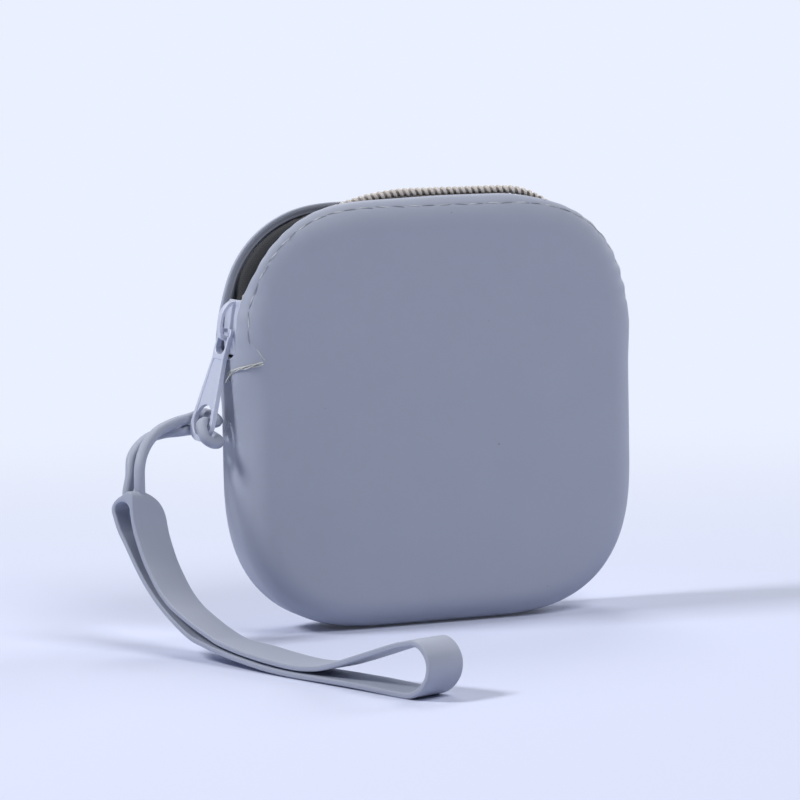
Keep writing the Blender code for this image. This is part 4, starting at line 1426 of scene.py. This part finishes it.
def track_point(along, depth, across):
    """A place on the slider: along its length from the tail, below the track circle, across."""
    tail_turn = math.asin((slider_tail_height - track_center[1]) / chain_radius)
    turn = tail_turn + along / chain_radius
    radius = track_radius - depth
    return (track_center[0] - radius * math.cos(turn), across,
            track_center[1] + radius * math.sin(turn))


def plate_channel(outside, inside, tip):
    """One plate of the slider with a wall along each side, its plan corners rounded."""
    corner_runs = [slider_corner * (1 - math.cos(math.pi / 2 * k / slider_corner_steps))
                   for k in range(slider_corner_steps)]
    runs = corner_runs + list(np.linspace(slider_corner, slider_length - slider_corner,
                                          slider_side_sections))
    runs += [slider_length - run for run in reversed(corner_runs)]
    rings = []
    for run in runs:
        from_end = min(run, slider_length - run, slider_corner)
        drop = slider_corner - math.sqrt(slider_corner ** 2 - (slider_corner - from_end) ** 2)
        outer = slider_half_width - drop
        inner = outer - slider_wall
        end = tip
        if from_end < slider_corner:
            end = inside + math.copysign(slider_wall_stub, tip - inside)
        line = ((outside, -outer), (outside, outer), (end, outer), (end, inner),
                (inside, inner), (inside, -inner), (end, -inner), (end, -outer))
        rings.append([track_point(run, depth, across) for depth, across in line])
    return loft(rings)


print("slider", round(slider_length * 1000, 1), "mm long")

# %% [markdown]
# The arch is highest a little nearer its tail, falls off steeply there and easily towards the
# nose. One formula with its own power for each side draws that better than an arc of a circle.

# %% The slider
plate_thickness = 0.00105
plate_depth = 0.0016
slit_height = 0.0010
post_half_width = 0.0011
post_length = 0.0045
post_setback = 0.0012
post_sections = 8
arch_width = 0.0020
arch_thickness = 0.0008
arch_rise = 0.0030
arch_foot_share = 0.26
arch_nose_share = 0.975
arch_top_share = 0.42
arch_tail_power = 4.0
arch_nose_power = 2.0
arch_steps = 24
overrun = 0.0002


def arch_height(share):
    """The arch's height as a share of its full height: steep at the tail, easy at the nose."""
    if share < arch_top_share:
        from_top, power = (arch_top_share - share) / arch_top_share, arch_tail_power
    else:
        from_top = (share - arch_top_share) / (1 - arch_top_share)
        power = arch_nose_power
    return max(1 - from_top ** power, 0.0) ** (1 / power)


def arch_line(setback):
    """One side of the arch that holds the puller: run along the slider, height."""
    start = slider_length * arch_foot_share + setback
    end = slider_length * arch_nose_share - setback
    line = [(start, -overrun * 2)]
    for k in range(1, arch_steps):
        share = (1 - math.cos(math.pi * k / arch_steps)) / 2
        line.append((mix(start, end, share), (arch_rise - setback) * arch_height(share)))
    return line + [(end, -overrun * 2)]


upper_under = plate_depth + plate_thickness
lower_top = 2 * chain_depth - upper_under
blocks = [plate_channel(plate_depth, upper_under, chain_depth - slit_height / 2),
          plate_channel(lower_top + plate_thickness, lower_top, chain_depth + slit_height / 2)]
post_rings = []
post_runs = np.linspace(slider_length - post_length, slider_length - post_setback, post_sections)
for run in post_runs:
    post_rings.append([track_point(run, depth, across) for depth, across in (
        (upper_under - overrun, -post_half_width), (upper_under - overrun, post_half_width),
        (lower_top + overrun, post_half_width), (lower_top + overrun, -post_half_width))])
blocks.append(loft(post_rings))
arch_rings = []
for outside, inside in zip(arch_line(0.0), arch_line(arch_thickness)):
    arch_rings.append([track_point(run, plate_depth - rise, side * arch_width / 2)
                       for (run, rise), side in ((outside, -1), (outside, 1), (inside, 1),
                                                 (inside, -1))])
blocks.append(loft(arch_rings))
cast("cast_slider", blocks, [], casting_voxel, "slider", "slider_body")

# %% [markdown]
# The puller hangs from the slider's arch, leans outwards and is twisted a little. Its pivot and
# its three directions, down, to the back and outwards, are worked out as in the solid. Everything
# on the puller is then given by these directions, as if it lay flat on a bench.

# %% Where the puller hangs
pivot_height = 0.0011
pivot_along = 0.00495
pivot_across = -0.0003
puller_foot = (-0.0067, 0.0004, -0.0230)
puller_twist_degrees = 14.0

pivot = Vector(track_point(pivot_along, plate_depth - pivot_height, pivot_across))
puller_down = Vector(puller_foot).normalized()
flat_out = Vector((0, 1, 0)).cross(puller_down).normalized()
flat_out = -flat_out if flat_out.x > 0 else flat_out
flat_side = puller_down.cross(flat_out).normalized()
flat_side = -flat_side if flat_side.y < 0 else flat_side
twist = math.radians(puller_twist_degrees)
puller_out = (flat_out * math.cos(twist) - flat_side * math.sin(twist)).normalized()
puller_side = (flat_side * math.cos(twist) + flat_out * math.sin(twist)).normalized()


def puller_point(down, side, out):
    """A place on the puller: down from its pivot, sideways to the back, and outwards."""
    return pivot + puller_down * down + puller_side * side + puller_out * out


def flat_block(points, low_out, high_out):
    return loft([[puller_point(down, side, out) for down, side in points]
                 for out in (low_out, high_out)])


print("puller's pivot:", tuple(round(value * 1000, 1) for value in pivot), "mm")

# %% [markdown]
# The puller is a flat drop: a narrow head with round corners, a neck, and a half circle for its
# tail. Only one half is drawn, and the other is its mirror image.

# %% The puller's outline
puller_length = 0.02495
puller_head_above = 0.00045
puller_head_width = 0.0046
puller_head_corner_share = 0.35
puller_neck_width = 0.0043
puller_neck_start = 0.0064
puller_tail_width = 0.0082
head_hole_length = 0.0050
head_corner_steps = 6
tail_steps = 24

head = puller_head_width / 2
tail = puller_tail_width / 2
corner = head * puller_head_corner_share
tail_center = puller_length - tail
half_outline = []
for k in range(head_corner_steps + 1):
    turn = math.pi / 2 * k / head_corner_steps
    half_outline.append((corner - puller_head_above - corner * math.cos(turn),
                         head - corner + corner * math.sin(turn)))
half_outline.append((head_hole_length, head))
half_outline.append((puller_neck_start, puller_neck_width / 2))
for k in range(tail_steps):
    turn = math.pi / 2 * (1 - k / tail_steps)
    half_outline.append((tail_center + tail * math.cos(turn), tail * math.sin(turn)))
puller_outline = (half_outline + [(puller_length, 0.0)]
                  + [(down, -across) for down, across in reversed(half_outline)])
print("points round the puller:", len(puller_outline))

# %% [markdown]
# It has an eye at each end: a slim one for the slider's arch, and a round one for the strap. Its
# face is sunk a little between them, which leaves a raised rim, and the head is thinner, so that it
# turns freely in the arch. All of that is cut out of the flat drop.

# %% The puller
puller_thickness = 0.0012
puller_head_thickness = 0.0007
puller_voxel = casting_voxel * 0.8
head_hole_width = 0.0034
head_hole_corner_share = 0.12
head_hole_foot_share = 0.46
head_hole_steps = 8
head_bar = 0.00088
eyelet_radius = 0.0031
eyelet_length = 0.0069
eyelet_offset = 0.0006
eyelet_steps = 48
panel_depth = 0.00025
panel_start = 0.0065
panel_rim = 0.0006


def rounded_slot(center_down, half_length, half_width, top_corner, foot_corner):
    """A rounded rectangle on the puller, as points down and across."""
    points = []
    for sign_down, sign_side in ((1, 1), (1, -1), (-1, -1), (-1, 1)):
        corner = foot_corner if sign_down > 0 else top_corner
        for k in range(head_hole_steps + 1):
            turn = math.pi / 2 * k / head_hole_steps
            if sign_down * sign_side < 0:
                turn = math.pi / 2 - turn
            points.append(
                (center_down + sign_down * (half_length - corner + corner * math.sin(turn)),
                 sign_side * (half_width - corner + corner * math.cos(turn))))
    return points


face = puller_thickness / 2
beyond = face + overrun
hole_center = head_bar - puller_head_above + head_hole_length / 2
eyelet_center = tail_center - eyelet_offset
eyelet_turns = [2 * math.pi * k / eyelet_steps for k in range(eyelet_steps)]
eyelet = [(eyelet_center + eyelet_length / 2 * math.cos(turn), eyelet_radius * math.sin(turn))
          for turn in eyelet_turns]
panel_head = puller_neck_width / 2 - panel_rim
panel = [(panel_start, panel_head), (eyelet_center, eyelet_radius),
         (eyelet_center, -eyelet_radius), (panel_start, -panel_head)]
relief_end = head_bar + puller_head_above
relief = [(-head_bar * 2, -puller_head_width), (-head_bar * 2, puller_head_width),
          (relief_end, puller_head_width), (relief_end, -puller_head_width)]
cutters = [
    flat_block(rounded_slot(hole_center, head_hole_length / 2, head_hole_width / 2,
                            head_hole_width * head_hole_corner_share,
                            head_hole_width * head_hole_foot_share), -beyond, beyond),
    flat_block(eyelet, -beyond, beyond),
    flat_block(panel, face - panel_depth, beyond),
    flat_block(relief, -beyond, -puller_head_thickness / 2),
    flat_block(relief, puller_head_thickness / 2, beyond)]
cast("cast_puller", [flat_block(puller_outline, -face, face)], cutters, puller_voxel, "puller",
     "puller")

# %% [markdown]
# The strap's cord runs from the band up to the puller, through its eye, round its lower rim and
# back. Nobody could write a formula for a hitch, so its route is a list of places, and the tube is
# a smooth curve through them with a round section.

# %% The strap's cord
cord_diameter = 0.0024
cord_step = 0.0004
cord_bevel_steps = 6
band_width = 0.0092
band_thickness = 0.0012
band_heading = math.radians(20.0)
band_near_offset = -0.07222
band_side = np.array((math.cos(band_heading), math.sin(band_heading), 0.0))
band_run = np.array((math.sin(band_heading), -math.cos(band_heading), 0.0))
# Where the two strands leave the band: forwards, sideways, height
cord_front_foot = ((-0.0174, 0.0034, 0.0330), (-0.0172, 0.0032, 0.0351))
cord_back_foot = ((-0.0210, 0.0029, 0.0336), (-0.0208, 0.0030, 0.0318))
cord_front = (
    (-0.0705, -0.0070, 0.0392), (-0.0692, -0.0055, 0.0422), (-0.0670, -0.0035, 0.0446),
    (-0.0636, -0.0005, 0.0464), (-0.0586, 0.0032, 0.0475), (-0.0543, 0.0062, 0.0479))
# Places about the middle of the puller's round eye: down, to the back, outwards
cord_hitch = (
    (-0.0013, 0.0046, -0.0026), (-0.0011, 0.0014, -0.0033), (-0.0005, -0.0009, -0.0029),
    (0.0002, -0.0010, -0.0012), (0.0003, -0.0012, 0.0004), (0.0010, -0.0024, 0.0019),
    (0.0022, -0.0038, 0.0022), (0.0036, -0.0048, 0.00165), (0.0042, -0.0051, 0.0000),
    (0.0041, -0.0046, -0.0017), (0.0037, -0.0030, -0.0032), (0.0032, -0.0001, -0.0041),
    (0.0028, 0.0029, -0.0037), (0.0026, 0.0053, -0.0019))
cord_back = (
    (-0.0575, 0.0057, 0.0452), (-0.0607, 0.0052, 0.0451), (-0.0648, 0.0036, 0.0444),
    (-0.0684, 0.0010, 0.0425), (-0.0705, -0.0015, 0.0404), (-0.0714, -0.0034, 0.0371))


def band_place(run, reach, height):
    """A place on the band: forwards from the pouch, sideways from its near edge, height."""
    flat = band_side * (band_near_offset + reach) + band_run * run
    return (flat[0], flat[1], height)


through = [tuple(puller_point(eyelet_center + down, side, out)) for down, side, out in cord_hitch]
cord_route = ([band_place(*spot) for spot in cord_front_foot] + list(cord_front) + through
              + list(cord_back) + [band_place(*spot) for spot in cord_back_foot])
cord_points = smooth_line(cord_route, cord_step)
cord_length = float(np.linalg.norm(np.diff(cord_points, axis=0), axis=1).sum())
cord_curve = bpy.data.curves.new("strap_cord_tube", "CURVE")
cord_curve.dimensions = "3D"
cord_curve.bevel_depth = cord_diameter / 2
cord_curve.bevel_resolution = cord_bevel_steps
cord_curve.use_fill_caps = True
spline = cord_curve.splines.new("POLY")
spline.points.add(len(cord_points) - 1)
for spot, point in zip(spline.points, cord_points):
    spot.co = (*point, 1.0)
spline.use_smooth = True
cord = bpy.data.objects.new("strap_cord_tube", cord_curve)
bpy.context.collection.objects.link(cord)
cord_curve.materials.append(moulded_silicone)
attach(cord, "strap")
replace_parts(cord, "strap_cord")
print("cord", round(cord_length * 1000, 1), "mm long")

# %% [markdown]
# The wrist band is a flat loop moulded in one with the cord. It rests folded nearly flat, so its
# side view is a long thin loop, written as places forwards and up. A smooth line through them,
# with the outward direction at each point, carries the sections of the strip.

# %% The band's side view
band_step = 0.0006
band_route = (
    (-0.0168, 0.0340), (-0.0190, 0.0331), (-0.0214, 0.0318), (-0.0227, 0.0302),
    (-0.0221, 0.0282), (-0.0207, 0.0255), (-0.0189, 0.0232), (-0.0164, 0.0198),
    (-0.0139, 0.0167), (-0.0109, 0.0136), (-0.0074, 0.0107), (-0.0030, 0.0078),
    (0.0022, 0.0051), (0.0070, 0.0039), (0.0120, 0.0029), (0.0190, 0.0019), (0.0270, 0.0011),
    (0.0350, 0.0008), (0.0460, 0.0009), (0.0560, 0.0009), (0.0640, 0.0007), (0.0695, 0.00065),
    (0.0722, 0.0012), (0.0745, 0.0027), (0.0761, 0.0047), (0.07665, 0.0069), (0.0763, 0.0086),
    (0.0753, 0.0100), (0.0739, 0.0110), (0.0722, 0.0114), (0.0703, 0.0111), (0.0669, 0.0103),
    (0.0615, 0.0086), (0.0560, 0.0068), (0.0504, 0.0050), (0.0448, 0.0034), (0.0405, 0.0027),
    (0.0350, 0.0024), (0.0270, 0.0028), (0.0190, 0.0036), (0.0120, 0.0048), (0.0084, 0.0059),
    (0.0034, 0.0077), (-0.0008, 0.0095), (-0.0040, 0.0111), (-0.0072, 0.0135),
    (-0.0099, 0.0165), (-0.0124, 0.0199), (-0.0141, 0.0231), (-0.0155, 0.0263),
    (-0.0163, 0.0297), (-0.0164, 0.0324))

middle = smooth_line(band_route, band_step, closed=True)
directions = np.roll(middle, -1, axis=0) - np.roll(middle, 1, axis=0)
directions /= np.linalg.norm(directions, axis=1)[:, None]
normals = np.column_stack([-directions[:, 1], directions[:, 0]])
half_count = len(middle) // 2
middle, normals = np.roll(middle, half_count, axis=0), np.roll(normals, half_count, axis=0)
band_loop = float(np.linalg.norm(middle - np.roll(middle, 1, axis=0), axis=1).sum())
print("band loop", round(band_loop * 1000, 1), "mm")

# %% [markdown]
# The strip's edges are softly rounded, as moulded silicone is. Near the cord the strip narrows to a
# shoulder, a small hollow is left inside the fold, and the far edge hangs a little lower. The
# section changes all along the strip, so it is lofted ring by ring.

# %% The wrist band
band_edge_round = 0.00035
band_edge_steps = 4
band_shoulder_width = 0.0052
band_shoulder_height = 0.0058
band_shoulder_offset = 0.0008
crest_low = 0.0300
hollow_rise = 0.0017
band_tilt = 0.0014
tilt_start = -0.0200
tilt_start_run = 0.0060
tilt_end = 0.0060
tilt_end_run = 0.0160

top = middle[:, 1].max() + band_thickness / 2
crest = middle[:, 1] > crest_low
crest_spots = np.flatnonzero(crest)[[0, -1]]
crest_ends = middle[crest_spots] + normals[crest_spots] * band_thickness / 2
crest_step = 0
rings = []
for point, normal, on_crest in zip(middle, normals, crest):
    outside, inside = (point + normal * sign * band_thickness / 2 for sign in (-1, 1))
    if on_crest:
        share = crest_step / (crest.sum() - 1)
        arch = math.sqrt(max(1 - (2 * share - 1) ** 2, 0.0))
        inside = mix(crest_ends[0], crest_ends[1], share) + np.array((0.0, hollow_rise * arch))
        crest_step += 1
    from_top = max(top - point[1] - band_shoulder_offset, 0.0)
    drop = 0.0
    if from_top < band_shoulder_height:
        near_top = 1 - from_top / band_shoulder_height
        drop = band_shoulder_width * (1 - math.sqrt(1 - near_top ** 2))
    far = band_width - drop
    sink = band_tilt * hump(point[0], tilt_start, tilt_start_run, tilt_end, tilt_end_run)
    ring = []
    for center_reach, center_face, first_turn in (
            (far - band_edge_round, 1, 0.5), (far - band_edge_round, -1, 0.0),
            (band_edge_round, -1, -0.5), (band_edge_round, 1, -1.0)):
        for k in range(band_edge_steps + 1):
            turn = math.pi * (first_turn - 0.5 * k / band_edge_steps)
            reach = center_reach + band_edge_round * math.cos(turn)
            lift = (center_face * (band_thickness / 2 - band_edge_round)
                    + band_edge_round * math.sin(turn))
            run, height = mix(outside, inside, lift / band_thickness + 0.5)
            height -= sink * reach / band_width
            ring.append(band_place(run, reach, height))
    rings.append(ring)
band = finish_piece("wrist_band", loft(rings, closed_length=True), moulded_silicone, "strap")
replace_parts(band, "strap_band")
print("band sections:", len(rings))
